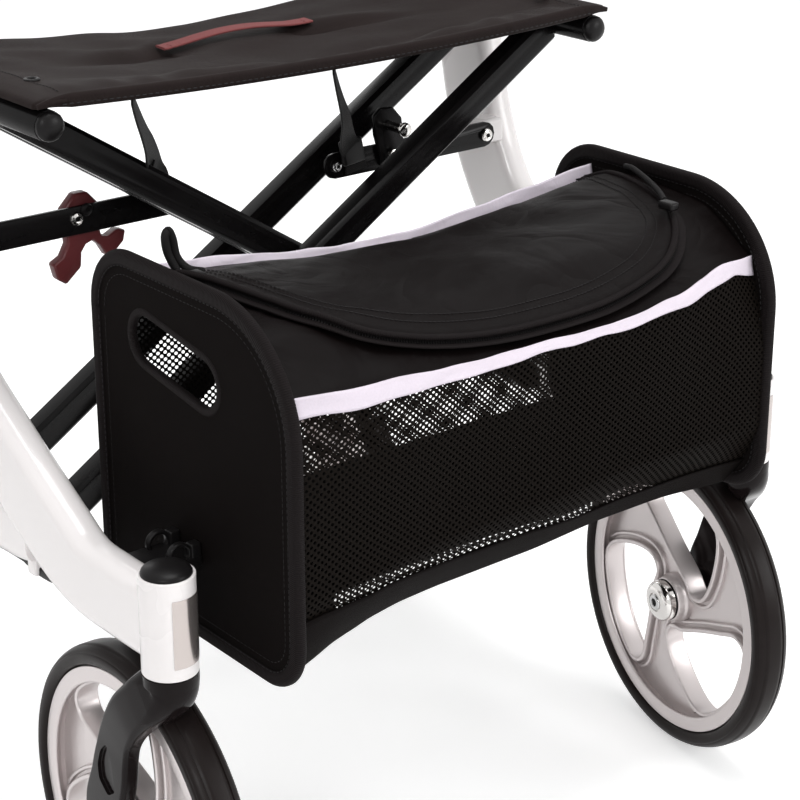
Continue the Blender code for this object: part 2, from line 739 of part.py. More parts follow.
def make_axle(name, side, wheel_x, outer_x, y, z):
    """An axle bolt with a domed cap on the hub's inner side and a domed nut on the arm's outer side."""
    hub = wheel_x - side * HUB_REACH
    far = abs(hub - outer_x) + SEAT_GAP
    near = -SEAT_GAP
    cap = near - AXLE_CAP_HEIGHT
    return turned(
        name,
        [(0, cap), (AXLE_CAP_RADIUS * 0.86, cap + 0.0045), (AXLE_CAP_RADIUS, cap + 0.009),
         (AXLE_CAP_RADIUS, near), (AXLE_RADIUS, near), (AXLE_RADIUS, far),
         (AXLE_NUT_RADIUS, far), (AXLE_NUT_RADIUS, far + AXLE_NUT_HEIGHT),
         (AXLE_NUT_RADIUS * 0.65, far + AXLE_NUT_HEIGHT + AXLE_NUT_DOME * 0.75),
         (0, far + AXLE_NUT_HEIGHT + AXLE_NUT_DOME)],
        (hub, y, z), (side, 0, 0), STEEL, 14, closed=False,
    )


def make_carrier(label, side):
    """The plastic carrier on the leg's end that holds the rear wheel on its outer side."""
    end, way = leg_end()
    across = Vector((-way.y, way.x))
    upper = end + across * LEG_HALF_DEPTH
    lower = end - across * LEG_HALF_DEPTH
    axle = Vector((REAR_AXLE_Y, REAR_WHEEL_RADIUS))
    arm_inner = side * FORK_INNER_X
    arm_middle = arm_inner + side * CARRIER_THICKNESS / 2
    start = way * SEAT_GAP
    outline = [tuple(lower + way * 0.0015), tuple(upper + way * 0.0015)]
    outline += [tuple(around_axle(place)) for place in CARRIER_REAR_EDGE]
    outline += arc(axle, CARRIER_HUB_RADIUS, 10, -195, 9)
    outline += [tuple(around_axle(place)) for place in CARRIER_FRONT_EDGE]
    carrier = side_plate(
        f"rear_carrier_{label}", outline, CARRIER_THICKNESS, arm_middle, BLACK_PLASTIC,
    )
    soften(carrier, 0.0025, 2)
    block_low = lower + start + across * 0.001
    block_high = upper + start - across * 0.001
    block_inner = FRAME_INNER_X + 0.001
    block_outer = FORK_INNER_X + 0.006
    block = side_plate(
        f"carrier_block_{label}",
        [tuple(block_low), tuple(block_high), tuple(block_high + way * CARRIER_BLOCK_LENGTH),
         tuple(block_low + way * CARRIER_BLOCK_LENGTH + across * 0.012)],
        block_outer - block_inner, side * (block_inner + block_outer) / 2,
    )
    join(carrier, block)
    cut(carrier, cylinder(
        f"carrier_bore_{label}", (arm_inner - side * 0.03, axle.x, axle.y),
        (arm_inner + side * 0.03, axle.x, axle.y), AXLE_RADIUS + SEAT_GAP, sides=16,
    ))
    wheel(
        f"rear_rim_{label}", f"rear_tyre_{label}", REAR_WHEEL_RADIUS,
        (side * WHEEL_X, axle.x, axle.y), WHEEL_TURN[label],
    )
    make_axle(
        f"rear_axle_{label}", side, side * WHEEL_X, arm_inner + side * CARRIER_THICKNESS,
        axle.x, axle.y,
    )


def shoe_points():
    """The pivot of the brake shoe and the middle of the shoe, as (y, z)."""
    return around_axle(SHOE_PIVOT), around_axle((SHOE_ANGLE, SHOE_GAP + SHOE_THICKNESS / 2))


def make_brake_shoe(label, side):
    pivot, shoe = shoe_points()
    block = box(
        f"brake_shoe_{label}", (side * WHEEL_X, shoe.x, shoe.y),
        (TYRE_WIDTH * 0.8, SHOE_LENGTH, SHOE_THICKNESS), STEEL,
        turn=math.radians(SHOE_ANGLE - 90),
    )
    soften(block, 0.0015, 1)
    run = shoe - pivot
    arm = box(
        f"shoe_arm_{label}", (side * WHEEL_X, (pivot.x + shoe.x) / 2, (pivot.y + shoe.y) / 2),
        (TYRE_WIDTH * 0.5, run.length, 0.0062), turn=math.atan2(run.y, run.x),
    )
    join(block, arm)
    join(block, cylinder(
        f"shoe_pin_{label}", (side * (WHEEL_X - TYRE_WIDTH * 0.25), pivot.x, pivot.y),
        (side * (FORK_INNER_X - SEAT_GAP), pivot.x, pivot.y), SHOE_PIVOT_RADIUS, sides=16,
    ))


def handle_path():
    """The handle tube's centre line: its straight part, its bend and its grip run."""
    start = upright_point(-HANDLE_DEPTH)
    bend = upright_point(HANDLE_RISE)
    back = Vector((0, math.cos(UPRIGHT_LEAN), -math.sin(UPRIGHT_LEAN)))
    centre = bend + back * HANDLE_BEND_RADIUS
    sweep = math.pi / 2 - UPRIGHT_LEAN - HANDLE_PITCH
    points = [start, bend]
    for step in range(1, 9):
        turn = Matrix.Rotation(-sweep * step / 8, 3, "X")
        points.append(centre + turn @ (bend - centre))
    way = Vector((0, math.cos(HANDLE_PITCH), math.sin(HANDLE_PITCH)))
    bend_end = points[-1]
    points.append(bend_end + way * HANDLE_GRIP_RUN)
    return points, bend_end, way


def make_handle(label, side):
    points, bend_end, way = handle_path()
    x = side * FRAME_X
    curve = bpy.data.curves.new(f"handle_tube_{label}", "CURVE")
    curve.dimensions = "3D"
    curve.bevel_depth = HANDLE_TUBE_RADIUS
    curve.bevel_resolution = 3
    curve.use_fill_caps = True
    line = curve.splines.new("POLY")
    line.points.add(len(points) - 1)
    for point, place in zip(line.points, points):
        point.co = (x, place.y, place.z, 1)
    tube = bpy.data.objects.new(f"handle_tube_{label}", curve)
    PARTS.objects.link(tube)
    tube = as_mesh(tube)
    tube.data.materials.clear()
    tube.data.materials.append(BLACK_PAINT)
    smooth_faces(tube, math.radians(50))
    offset = Vector((x, 0, 0))
    inner = HANDLE_TUBE_RADIUS + SEAT_GAP
    grip_start = bend_end + way * (HANDLE_GRIP_RUN - GRIP_LENGTH) + offset
    turned(
        f"handle_grip_{label}",
        [(0, GRIP_LENGTH + SEAT_GAP), (inner, GRIP_LENGTH + SEAT_GAP), (inner, 0),
         (GRIP_RADIUS + 0.002, 0), (GRIP_RADIUS + 0.002, 0.004), (GRIP_RADIUS - 0.001, 0.008),
         (GRIP_RADIUS, GRIP_LENGTH * 0.45), (GRIP_RADIUS - 0.0015, GRIP_LENGTH * 0.8),
         (GRIP_RADIUS, GRIP_LENGTH), (GRIP_RADIUS - 0.003, GRIP_LENGTH + 0.005),
         (0, GRIP_LENGTH + 0.006)],
        grip_start, way, GRIP_RUBBER, 20, closed=False,
    )
    make_brake_lever(label, side, grip_start, way)
    make_knob(label, side)


def make_brake_lever(label, side, grip_start, way):
    x = side * FRAME_X
    clamp_end = grip_start - way * 0.001
    clamp_start = clamp_end - way * BRAKE_CLAMP_LENGTH
    down = Vector((0, way.z, -way.y))
    outer = HANDLE_TUBE_RADIUS + BRAKE_CLAMP_WALL
    clamp = cylinder(f"brake_clamp_{label}", clamp_start, clamp_end, outer, BLACK_PLASTIC, sides=24)
    pivot = (clamp_start + clamp_end) / 2 + down * LEVER_DROP
    for which in (-1, 1):
        cheek_x = which * (LEVER_THICKNESS / 2 + RUNNING_GAP + CHEEK_THICKNESS / 2)
        middle = (clamp_start + clamp_end) / 2 + down * (LEVER_DROP / 2 + 0.007)
        cheek = box(
            f"lever_cheek_{label}_{which + 1}", middle + Vector((cheek_x, 0, 0)),
            (CHEEK_THICKNESS, BRAKE_CLAMP_LENGTH * 0.8, LEVER_DROP - 0.001),
            turn=HANDLE_PITCH,
        )
        join(clamp, cheek)
    cut(clamp, cylinder(
        f"clamp_bore_{label}", clamp_start - way * 0.02, clamp_end + way * 0.02,
        HANDLE_TUBE_RADIUS + SEAT_GAP, sides=20,
    ))
    cheek_reach = LEVER_THICKNESS / 2 + RUNNING_GAP + CHEEK_THICKNESS
    cut(clamp, cylinder(
        f"lever_bore_{label}", pivot - Vector((cheek_reach + 0.01, 0, 0)),
        pivot + Vector((cheek_reach + 0.01, 0, 0)), LEVER_PIN_RADIUS + SEAT_GAP, sides=16,
    ))
    shape = (
        (-0.005, 0.000, 0.0052), (0.012, -0.002, 0.0052), (0.030, -0.010, 0.0050),
        (0.060, -0.0155, 0.0048), (0.090, -0.0145, 0.0046), (LEVER_LENGTH, -0.0125, 0.0040),
    )
    outline = []
    for along, rise in band(shape):
        place = pivot + way * along - down * rise
        outline.append((place.y, place.z))
    lever = side_plate(
        f"brake_lever_{label}", outline, LEVER_THICKNESS, x, BLACK_PLASTIC,
    )
    soften(lever, 0.0018, 1)
    join(lever, cylinder(
        f"lever_pin_{label}", pivot - Vector((cheek_reach - 0.001, 0, 0)),
        pivot + Vector((cheek_reach - 0.001, 0, 0)), LEVER_PIN_RADIUS, sides=14,
    ))


def make_knob(label, side):
    """The clamping knob whose stud holds the handle tube at its height."""
    start = upright_point(-KNOB_BELOW_TOP, x=side * (FRAME_X + HANDLE_TUBE_RADIUS + SEAT_GAP))
    stud = FRAME_THICKNESS / 2 - HANDLE_TUBE_RADIUS + SEAT_GAP
    knob = turned(
        f"height_knob_{label}",
        [(0, 0), (KNOB_STUD_RADIUS, 0), (KNOB_STUD_RADIUS, stud), (KNOB_RADIUS * 0.6, stud),
         (KNOB_RADIUS * 0.7, stud + 0.003), (KNOB_RADIUS, stud + 0.005),
         (KNOB_RADIUS, stud + KNOB_LENGTH - 0.003), (KNOB_RADIUS - 0.003, stud + KNOB_LENGTH),
         (0, stud + KNOB_LENGTH)],
        start, (side, 0, 0), BLACK_PLASTIC, 18, closed=False,
    )
    return knob


def make_seat_tube(label, side):
    x = side * TUBE_HALF_SPACING
    rear = SEAT_TUBE_FRONT + SEAT_TUBE_LENGTH
    cylinder(
        f"seat_tube_{label}", (x, rear, SEAT_TUBE_HEIGHT), (x, SEAT_TUBE_FRONT, SEAT_TUBE_HEIGHT),
        SEAT_TUBE_RADIUS, BLACK_PAINT, sides=24,
    )
    radius = SEAT_TUBE_RADIUS - SEAT_GAP
    profile = [(0, 0), (radius, 0), (radius, SEAT_CAP_LENGTH * 0.4)]
    profile += [
        (radius * math.cos(math.radians(a)), SEAT_CAP_LENGTH * (0.4 + 0.6 * math.sin(math.radians(a))))
        for a in (35, 65)
    ]
    profile += [(0, SEAT_CAP_LENGTH)]
    turned(
        f"seat_tube_cap_{label}", profile, (x, SEAT_TUBE_FRONT - SEAT_GAP, SEAT_TUBE_HEIGHT),
        (0, -1, 0), BLACK_PLASTIC, 18, closed=False,
    )


def make_bar(name, y, side, sleeve=True):
    """A cross bar that runs from the pivot tube on one side up to the seat tube on the other."""
    low = Vector((side * TUBE_HALF_SPACING, PIVOT_Z))
    high = Vector((-side * TUBE_HALF_SPACING, SEAT_TUBE_HEIGHT))
    way = (high - low).normalized()
    across = Vector((-way.y, way.x)) * BAR_HEIGHT / 2
    end = high - way * 0.006
    turn = math.degrees(math.atan2(way.y, way.x))
    round_end = arc(low, BAR_HEIGHT / 2, turn + 90, turn + 270, 10)
    outline = round_end + [tuple(end - across), tuple(end + across)]
    bar = front_plate(name, outline, BAR_THICKNESS, y, BLACK_PAINT)
    soften(bar, 0.0030, 1)
    cut(bar, cylinder(
        f"{name}_seat_cut", (high.x, y - BAR_THICKNESS, high.y), (high.x, y + BAR_THICKNESS, high.y),
        SEAT_TUBE_RADIUS + SEAT_GAP, sides=24,
    ))
    cut(bar, cylinder(
        f"{name}_pivot_cut", (low.x, y - BAR_THICKNESS, low.y), (low.x, y + BAR_THICKNESS, low.y),
        PIVOT_TUBE_RADIUS + SEAT_GAP, sides=20,
    ))
    cut(bar, cylinder(
        f"{name}_centre_cut", (0, y - BAR_THICKNESS, CENTRE_Z), (0, y + BAR_THICKNESS, CENTRE_Z),
        CENTRE_PIN_RADIUS + SEAT_GAP, sides=16,
    ))
    return bar


def make_centre_pin():
    front = BAR_A_FRONT_Y - BAR_THICKNESS / 2 - SEAT_GAP
    rear = BAR_A_REAR_Y + BAR_THICKNESS / 2 + SEAT_GAP
    length = rear - front
    head = 0.004
    return turned(
        "centre_pivot_bolt",
        [(0, -head), (CENTRE_PIN_HEAD * 0.7, -head), (CENTRE_PIN_HEAD, 0), (CENTRE_PIN_RADIUS, 0),
         (CENTRE_PIN_RADIUS, length), (CENTRE_PIN_HEAD, length),
         (CENTRE_PIN_HEAD, length + head), (0, length + head)],
        (0, front, CENTRE_Z), (0, 1, 0), BLACK_PLASTIC, 14, closed=False,
    )


def make_pivot_tube(label, side):
    x = side * TUBE_HALF_SPACING
    return cylinder(
        f"pivot_tube_{label}", (x, PIVOT_TUBE_FRONT + PIVOT_TUBE_LENGTH, PIVOT_Z),
        (x, PIVOT_TUBE_FRONT, PIVOT_Z), PIVOT_TUBE_RADIUS, BLACK_PAINT, sides=20,
    )


def make_link(label, side):
    """A flat link from the upright's lug to the crossing bars."""
    middle = (side * (LINK_PIVOT_X + LINK_INNER_X) / 2, LINK_Z)
    length = LINK_PIVOT_X - LINK_INNER_X + LINK_HEIGHT
    link = front_plate(
        f"fold_link_{label}", oblong(middle, length, LINK_HEIGHT), LINK_THICKNESS, LINK_Y, BLACK_PAINT,
    )
    head = LINK_THICKNESS / 2 + LINK_BOLT_HEAD
    for place, x, way in (("outer", LINK_PIVOT_X, -1), ("inner", LINK_INNER_X, -side)):
        join(link, cylinder(
            f"link_bolt_{place}_{label}", (side * x, LINK_Y, LINK_Z),
            (side * x, LINK_Y + way * head, LINK_Z), LINK_BOLT_RADIUS, sides=20,
            end_radius=LINK_BOLT_RADIUS * 0.72,
        ))
    join(link, cylinder(
        f"link_pin_{label}", (side * LINK_PIVOT_X, LINK_Y, LINK_Z),
        (side * LINK_PIVOT_X, LINK_Y + LINK_THICKNESS / 2 + 0.014, LINK_Z), LINK_PIN_RADIUS, sides=14,
    ))
    return link


def make_clip():
    """The red folding clip behind the right link, with its notch open downwards."""
    x, z = -CLIP_PIVOT_X, LINK_Z + CLIP_PIVOT_RISE
    shape = [
        (0.010, 0.004), (0.000, 0.015), (-0.010, 0.015), (-0.021, 0.004), (-0.019, -0.012),
        (-0.018, -0.022), (-0.023, -0.031), (-0.031, -0.035), (-0.028, -0.047), (-0.021, -0.052),
        (-0.008, -0.041), (-0.007, -0.030), (-0.003, -0.0245), (0.003, -0.0225), (0.009, -0.028),
        (0.014, -0.0365), (0.018, -0.038), (0.029, -0.028), (0.031, -0.020), (0.024, -0.018),
        (0.016, -0.022), (0.0105, -0.021), (0.0085, -0.012),
    ]
    points = [(x + across, z + up) for across, up in shape]
    front = LINK_Y + LINK_THICKNESS / 2 + SEAT_GAP
    clip = front_plate("fold_clip", points, CLIP_THICKNESS, front + CLIP_THICKNESS / 2, RED_PLASTIC)
    soften(clip, 0.0012, 1)
    return clip


def make_catch():
    """The catch plate on the left link with its bolt, and the steel pin that it carries."""
    x, z = CATCH_X, LINK_Z
    rear = LINK_Y - LINK_THICKNESS / 2 - SEAT_GAP
    outline = arc((x, z), 0.0115, 180, 360, 8)
    outline += [(x + 0.0125, z + 0.015), (x + 0.0105, z + 0.030), (x + 0.0015, z + 0.040)]
    outline += [(x - 0.0120, z + 0.0410), (x - 0.0185, z + 0.0350), (x - 0.0175, z + 0.0200)]
    plate = front_plate("catch_plate", outline, CATCH_THICKNESS, rear - CATCH_THICKNESS / 2, BLACK_PAINT)
    soften(plate, 0.0010, 1)
    join(plate, cylinder(
        "catch_bolt", (x, rear - CATCH_THICKNESS / 2, z), (x, rear - CATCH_THICKNESS - 0.0035, z),
        0.0068, sides=20, end_radius=0.0045,
    ))
    face = rear - CATCH_THICKNESS - SEAT_GAP
    pin = CATCH_PIN_RADIUS
    turned(
        "catch_pin",
        [(0, 0), (pin, 0), (pin, CATCH_PIN_LENGTH - 0.004), (pin * 1.5, CATCH_PIN_LENGTH - 0.004),
         (pin * 1.5, CATCH_PIN_LENGTH - 0.001), (pin, CATCH_PIN_LENGTH), (0, CATCH_PIN_LENGTH)],
        (x - 0.0030, face, z + 0.0260), (0, -1, 0), STEEL, 14, closed=False,
    )


def seat_height(x, y):
    """The height of the seat's upper face: it hangs between its tubes, with a padded front roll."""
    half = TUBE_HALF_SPACING + SEAT_OVERHANG
    across = min(abs(x) / (TUBE_HALF_SPACING - SEAT_TUBE_RADIUS), 1.0)
    middle = (SEAT_FRONT + SEAT_REAR) / 2
    along = (y - middle) / ((SEAT_REAR - SEAT_FRONT) / 2)
    sag = SEAT_HEM_SAG + (SEAT_SAG - SEAT_HEM_SAG) * (1 - along ** 4)
    drop = max(abs(x) - TUBE_HALF_SPACING, 0.0) / (half - TUBE_HALF_SPACING)
    roll = SEAT_ROLL * math.exp(-((y - SEAT_FRONT - 0.018) / 0.011) ** 2)
    channel = -SEAT_ROLL * 0.5 * math.exp(-((y - SEAT_FRONT - 0.040) / 0.006) ** 2)
    hanging = 1 - across ** 2
    return SEAT_EDGE_Z + SEAT_THICKNESS - sag * hanging + (roll + channel) * hanging - 0.002 * drop


def make_seat():
    half = TUBE_HALF_SPACING + SEAT_OVERHANG
    columns, rows = 16, 11
    mesh = bpy.data.meshes.new("seat_pad")
    shape = bmesh.new()
    bmesh.ops.create_grid(shape, x_segments=columns, y_segments=rows, size=1)
    for corner in shape.verts:
        x = corner.co.x * half
        y = SEAT_FRONT + (corner.co.y + 1) / 2 * (SEAT_REAR - SEAT_FRONT)
        corner.co = (x, y, seat_height(x, y))
    shape.to_mesh(mesh)
    shape.free()
    seat = add_object("seat_pad", mesh, SEAT_FABRIC)
    step = seat.modifiers.new("Solidify", "SOLIDIFY")
    step.thickness = SEAT_PAD_DEPTH
    step.offset = -1
    smooth_faces(seat)
    middle = 0.0035
    points = []
    for index in range(9):
        x = PULL_STRAP_LENGTH * (index / 8 - 0.5) - 0.008
        arch = PULL_STRAP_RISE * math.sin(math.pi * index / 8) ** 0.7
        rest = seat_height(x, middle) + PULL_STRAP_THICKNESS / 2 + 0.0004
        points.append((x, rest + arch, PULL_STRAP_THICKNESS / 2))
    front_plate("seat_pull_strap", band(points, 1), PULL_STRAP_WIDTH, middle, STRAP_RED)


def make_webbing(label, top_x, low_x, low_y, low_z):
    """A flat strap: one end lies under the seat's front edge, the other on an upright face."""
    top_y = SEAT_FRONT + 0.004
    half = WEBBING_THICKNESS / 2

    def under(y):
        lowest = min(seat_height(top_x + step * WEBBING_WIDTH / 2, y) for step in (-1, 0, 1))
        return lowest - SEAT_PAD_DEPTH - half - WEBBING_GAP

    foot_y = low_y - half - SEAT_GAP
    line = [
        (top_y, under(top_y), half), (top_y + 0.010, under(top_y + 0.010), half),
        (top_y + 0.020, under(top_y + 0.020) - 0.004, half),
        (foot_y - 0.008, low_z + 0.024, half), (foot_y, low_z, half), (foot_y, low_z - 0.014, half),
    ]
    strap = side_plate(f"webbing_{label}", band(line, 1), WEBBING_WIDTH, 0, BAG_FABRIC)
    slant = (low_x - top_x) / (foot_y - top_y)
    for corner in strap.data.vertices:
        corner.co.z += top_x + slant * (corner.co.x - top_y)
    return strap


def make_webbings():
    bar_face = BAR_B_REAR_Y - BAR_THICKNESS / 2
    bar_x = -TUBE_HALF_SPACING * WEBBING_RIGHT_FOOT
    bar_z = CENTRE_Z - bar_x * math.tan(CROSS_ANGLE)
    make_webbing("right", -TUBE_HALF_SPACING * WEBBING_RIGHT_TOP, bar_x, bar_face, bar_z + 0.008)
    link_face = LINK_Y - LINK_THICKNESS / 2
    make_webbing(
        "left", -TUBE_HALF_SPACING * WEBBING_LEFT_TOP, LINK_INNER_X + 0.0205, link_face, LINK_Z + 0.007,
    )


def bag_outline(inset=0.0):
    corners = tuple(max(radius - inset, 0.004) for radius in BAG_CORNERS)
    return rounded_box(
        (BAG_FRONT + inset, BAG_BOTTOM + inset), (BAG_REAR - inset, BAG_TOP - inset), corners,
    )


def make_bag():
    inner_x = BAG_HALF_WIDTH - BAG_PANEL_THICKNESS
    wrap_half = inner_x - SEAT_GAP
    wrap = side_plate("bag_body", bag_outline(0.001), 2 * wrap_half, 0, BAG_FABRIC)
    cut(wrap, side_plate("bag_hollow", bag_outline(0.001 + BAG_WALL), 2 * wrap_half + 0.02, 0))
    for label, side in SIDES:
        panel = side_plate(
            f"bag_panel_{label}", bag_outline(), BAG_PANEL_THICKNESS,
            side * (BAG_HALF_WIDTH - BAG_PANEL_THICKNESS / 2), BAG_FABRIC,
        )
        soften(panel, 0.0012, 1)
        clip_inner = BAG_HALF_WIDTH - 0.001
        clip_outer = FRAME_INNER_X - SEAT_GAP
        join(panel, box(
            f"bag_clip_{label}", (side * (clip_inner + clip_outer) / 2, BAG_CLIP_Y, BAG_CLIP_Z - 0.020),
            (clip_outer - clip_inner, 0.026, 0.022),
        ))
        cut(panel, side_plate(
            f"grip_slot_{label}",
            oblong((GRIP_SLOT_Y, BAG_TOP - GRIP_SLOT_BELOW_TOP), GRIP_SLOT_LENGTH,
                   GRIP_SLOT_HEIGHT, GRIP_SLOT_TILT),
            0.03, side * BAG_HALF_WIDTH,
        ))


def make_back_strap():
    level = upright_point(-BACK_STRAP_BELOW_TOP)
    lower_edge = upright_point(-BACK_STRAP_BELOW_TOP - BACK_STRAP_HEIGHT / 2, FRAME_HALF_DEPTH)
    upper_edge = upright_point(-BACK_STRAP_BELOW_TOP + BACK_STRAP_HEIGHT / 2, FRAME_HALF_DEPTH)
    start = max(lower_edge.y, upper_edge.y) + 0.0008
    half = BACK_STRAP_THICKNESS / 2
    rear = start + BACK_STRAP_DEPTH
    side_line = [
        (FRAME_X, start, half), (FRAME_X - 0.004, start + 0.022, half),
        (FRAME_X - 0.050, start + 0.068, half), (FRAME_X - 0.150, rear - 0.004, half),
    ]
    line = [(-x, y, h) for x, y, h in side_line] + [(0, rear, half)] + side_line[::-1]
    strap = flat_outline("back_strap", band(line), BACK_STRAP_HEIGHT, SEAT_FABRIC)
    strap.location.z = level.z
    soften(strap, 0.002, 1)


def main():
    for label, side in SIDES:
        make_main_tube(label, side)
        make_rear_leg(label, side)
        make_head_tube(label, side)
        make_caster(label, side)
        make_carrier(label, side)
        make_brake_shoe(label, side)
        make_handle(label, side)
        make_seat_tube(label, side)
        make_pivot_tube(label, side)
        make_link(label, side)
    make_bar("cross_bar_a_front", BAR_A_FRONT_Y, -1)
    make_bar("cross_bar_a_rear", BAR_A_REAR_Y, -1)
    make_bar("cross_bar_b_front", BAR_B_FRONT_Y, 1)
    make_bar("cross_bar_b_rear", BAR_B_REAR_Y, 1)
    make_centre_pin()
    make_clip()
    make_catch()
    make_seat()
    make_webbings()
    make_bag()
    make_back_strap()
    bpy.context.view_layer.update()


main()
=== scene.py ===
"""Looks of a cross-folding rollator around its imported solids. Metres, +Z up, the user walks towards -Y."""

import bisect
from math import copysign, cos, exp, hypot, pi, radians, sin, sqrt

import bmesh
import bpy
from mathutils import Matrix, Vector, noise


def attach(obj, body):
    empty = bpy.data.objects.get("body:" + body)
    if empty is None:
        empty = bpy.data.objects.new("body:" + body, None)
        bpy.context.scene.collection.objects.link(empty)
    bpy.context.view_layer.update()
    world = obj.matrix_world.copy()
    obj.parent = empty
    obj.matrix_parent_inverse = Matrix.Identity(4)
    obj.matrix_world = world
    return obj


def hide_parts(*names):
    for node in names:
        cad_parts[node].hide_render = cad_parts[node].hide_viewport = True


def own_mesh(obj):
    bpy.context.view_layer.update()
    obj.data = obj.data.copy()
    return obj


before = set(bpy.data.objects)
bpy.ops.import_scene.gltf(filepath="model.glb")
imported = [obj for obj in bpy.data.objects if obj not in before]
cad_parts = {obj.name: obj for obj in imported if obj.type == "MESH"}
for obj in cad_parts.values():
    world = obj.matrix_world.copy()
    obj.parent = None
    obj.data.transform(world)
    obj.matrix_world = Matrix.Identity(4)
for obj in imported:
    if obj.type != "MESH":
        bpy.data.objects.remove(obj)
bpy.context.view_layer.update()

SIDES = (("right", -1), ("left", 1))

# Camera and light
CAMERA_PLACE = (-0.8930, -1.2896, 0.9285)
CAMERA_TURN = (radians(69.515), 0.0, radians(-39.014))
LENS = 94.10
SHIFT_UP = -0.0625
WORLD_LIGHT = 0.56
FLOOR_SIZE = 14.0
FLOOR_GLOW = 0.42

# Side frames
FRAME_X = 0.2685
TUBE_HALF = 0.0135
TUBE_ROUNDING = 0.0115
FRAME_BOTTOM = 0.2775
HEAD_Y = -0.2875
HEAD_BOTTOM = 0.2745
HEAD_TOP = 0.3430
HEAD_RADIUS = 0.0185
HEAD_BORE = 0.0136
HEAD_WALL = 0.0022
HEAD_LIP = 0.004
CAP_SIDE = 0.0166
CAP_SKIRT = 0.004
CAP_EDGE = 0.0004
CAP_DOME = 0.0062
REFLECTOR_GAP = 0.00035
REFLECTOR_TURN = {"right": (-114, -36), "left": (-144, -66)}
REFLECTOR_HEIGHTS = (0.0090, 0.0565)
LEG_HALF = 0.0131
MAIN_TUBE_LINE = (
    (0.008, 0.0280, 0.0280), (0.055, 0.0272, 0.0282), (0.092, 0.0285, 0.0290),
    (0.125, 0.0410, 0.0320), (0.173, 0.0675, 0.0325), (0.237, 0.1060, 0.0325),
    (0.281, 0.1365, 0.0325), (0.305, 0.1715, 0.0325), (0.3175, 0.2000, 0.0325),
    (0.327, 0.2300, 0.0325),
)
LEG_SEAL_LINE = (
    (0.116, 0.0135), (0.130, 0.0105), (0.145, 0.0080), (0.160, 0.0075), (0.175, 0.0082), (0.205, 0.0068),
    (0.240, 0.0030),
)
SEAL_HALF = (0.0012, 0.0036, 0.0034, 0.0022, 0.0014, 0.0014, 0.0014)
SEAL_WIDTH_HALF = 0.0060
CLAMP_PLACE = (0.1590, 0.0105)
CLAMP_SIZE = (0.019, 0.011, 0.013)
UPRIGHT_BASE = (0.0483, 0.5495)
UPRIGHT_LENGTH = 0.1733
UPRIGHT_HALF = 0.0325
UPRIGHT_LEAN = radians(10.4)
LEG_LINE = (
    (0.158, 0.0320, 0.0190), (0.175, 0.0305, 0.0215), (0.200, 0.0295, 0.0225), (0.240, 0.0290, 0.0260),
    (0.315, 0.0275, 0.0280), (0.375, 0.0090, 0.0260),
)
LEG_LAST = ((127.3, 0.0947), (123.8, 0.0585))
LEG_LAST_HALF = 0.0225
LINK_Z = 0.4854
LINK_LUG = (0.2407, 0.0013)
LINK_LUG_SIZE = (0.0330, 0.021, 0.020)
PIVOT_LUG_X = 0.2455
PIVOT_LUG_Y = (-0.09575, 0.02975)
PIVOT_LUG_Z = 0.2848
PIVOT_LUG_SIZE = (0.0310, 0.0155, 0.0310)

# Wheels
WHEEL_X = 0.2595
FRONT_RADIUS = 0.127
REAR_RADIUS = 0.1015
REAR_AXLE_Y = 0.2515
CASTER_TRAIL = 0.063
CASTER_TURN = {"right": radians(-2.0), "left": radians(-11.0)}
WHEEL_TURN = {"right": radians(-19), "left": 0.0}
TYRE_HALF = 0.015
TYRE_DEPTH = 0.0135
RIM_HALF = 0.0125
RIM_DEPTH = 0.013
HUB_RADIUS = 0.021
HUB_REACH = 0.0150
CAP_RADIUS = 0.0170
CAP_RISE = 0.0105
CAP_WALL = 0.00441
CAP_FLAT = 0.0080
AXLE_RADIUS = 0.0058
ROD_START = 0.016
ROD_LENGTH = 0.058
NUT_AT = {"front": 0.0323, "rear": 0.0318}
NUT_PROFILE = (
    (0.0, 0.0), (0.0094, 0.0), (0.0094, 0.0042), (0.0088, 0.0050), (0.0070, 0.0062), (0.0052, 0.0080),
    (0.0028, 0.0091), (0.0, 0.0094),
)
WEB_HALF = 0.0026
RIB_HALF = 0.0090
RIB_WIDTH = 0.0038
INNER_RIB_HALF = 0.0058
WHEEL_HOLE = (
    (3, 0.10), (6, 0.29), (-10, 0.58), (-24, 0.90), (-36, 0.985), (-62, 0.985), (-84, 0.975),
    (-91, 0.82), (-86, 0.56), (-70, 0.26), (-32, 0.10),
)

# The fork: (outward, front edge, rear edge, below the collar's top, half its width)
FORK_TOP = HEAD_BOTTOM - 0.0006
FORK_ARM_X = 0.01675
FORK_ARM_HALF = 0.00625
FORK_HUB = 0.0245
FORK_BORE = 0.0062
FORK_HUB_HOLLOW = 0.0125
FORK_HUB_STEP = 0.003
FORK_STEM_RADIUS = 0.006
FORK_STEM_LENGTH = 0.060
FORK_LINE = (
    (0.0, -0.0185, 0.0185, 0.0000, 0.0185), (0.0, -0.0185, 0.0185, 0.0060, 0.0185),
    (0.0010, -0.0175, 0.0200, 0.0125, 0.0178), (0.0060, -0.0100, 0.0270, 0.0200, 0.0150),
    (0.0115, 0.0000, 0.0345, 0.0290, 0.0110), (0.0155, 0.0100, 0.0440, 0.0400, 0.0080),
    (0.0168, 0.0195, 0.0535, 0.0550, 0.0066), (0.0168, 0.0245, 0.0610, 0.0700, 0.00625),
    (0.0168, 0.0275, 0.0680, 0.0870, 0.00625), (0.0168, 0.0330, 0.0745, 0.1050, 0.00625),
    (0.0168, 0.0400, 0.0830, 0.1250, 0.00625), (0.0168, 0.0450, 0.0840, 0.1400, 0.00625),
)
FORK_ROUND = 14
FORK_RECESS = (
    (0.0400, 0.1020), (0.0430, 0.0800), (0.0490, 0.0690), (0.0570, 0.0770), (0.0620, 0.0900),
    (0.0610, 0.1010), (0.0500, 0.1090),
)
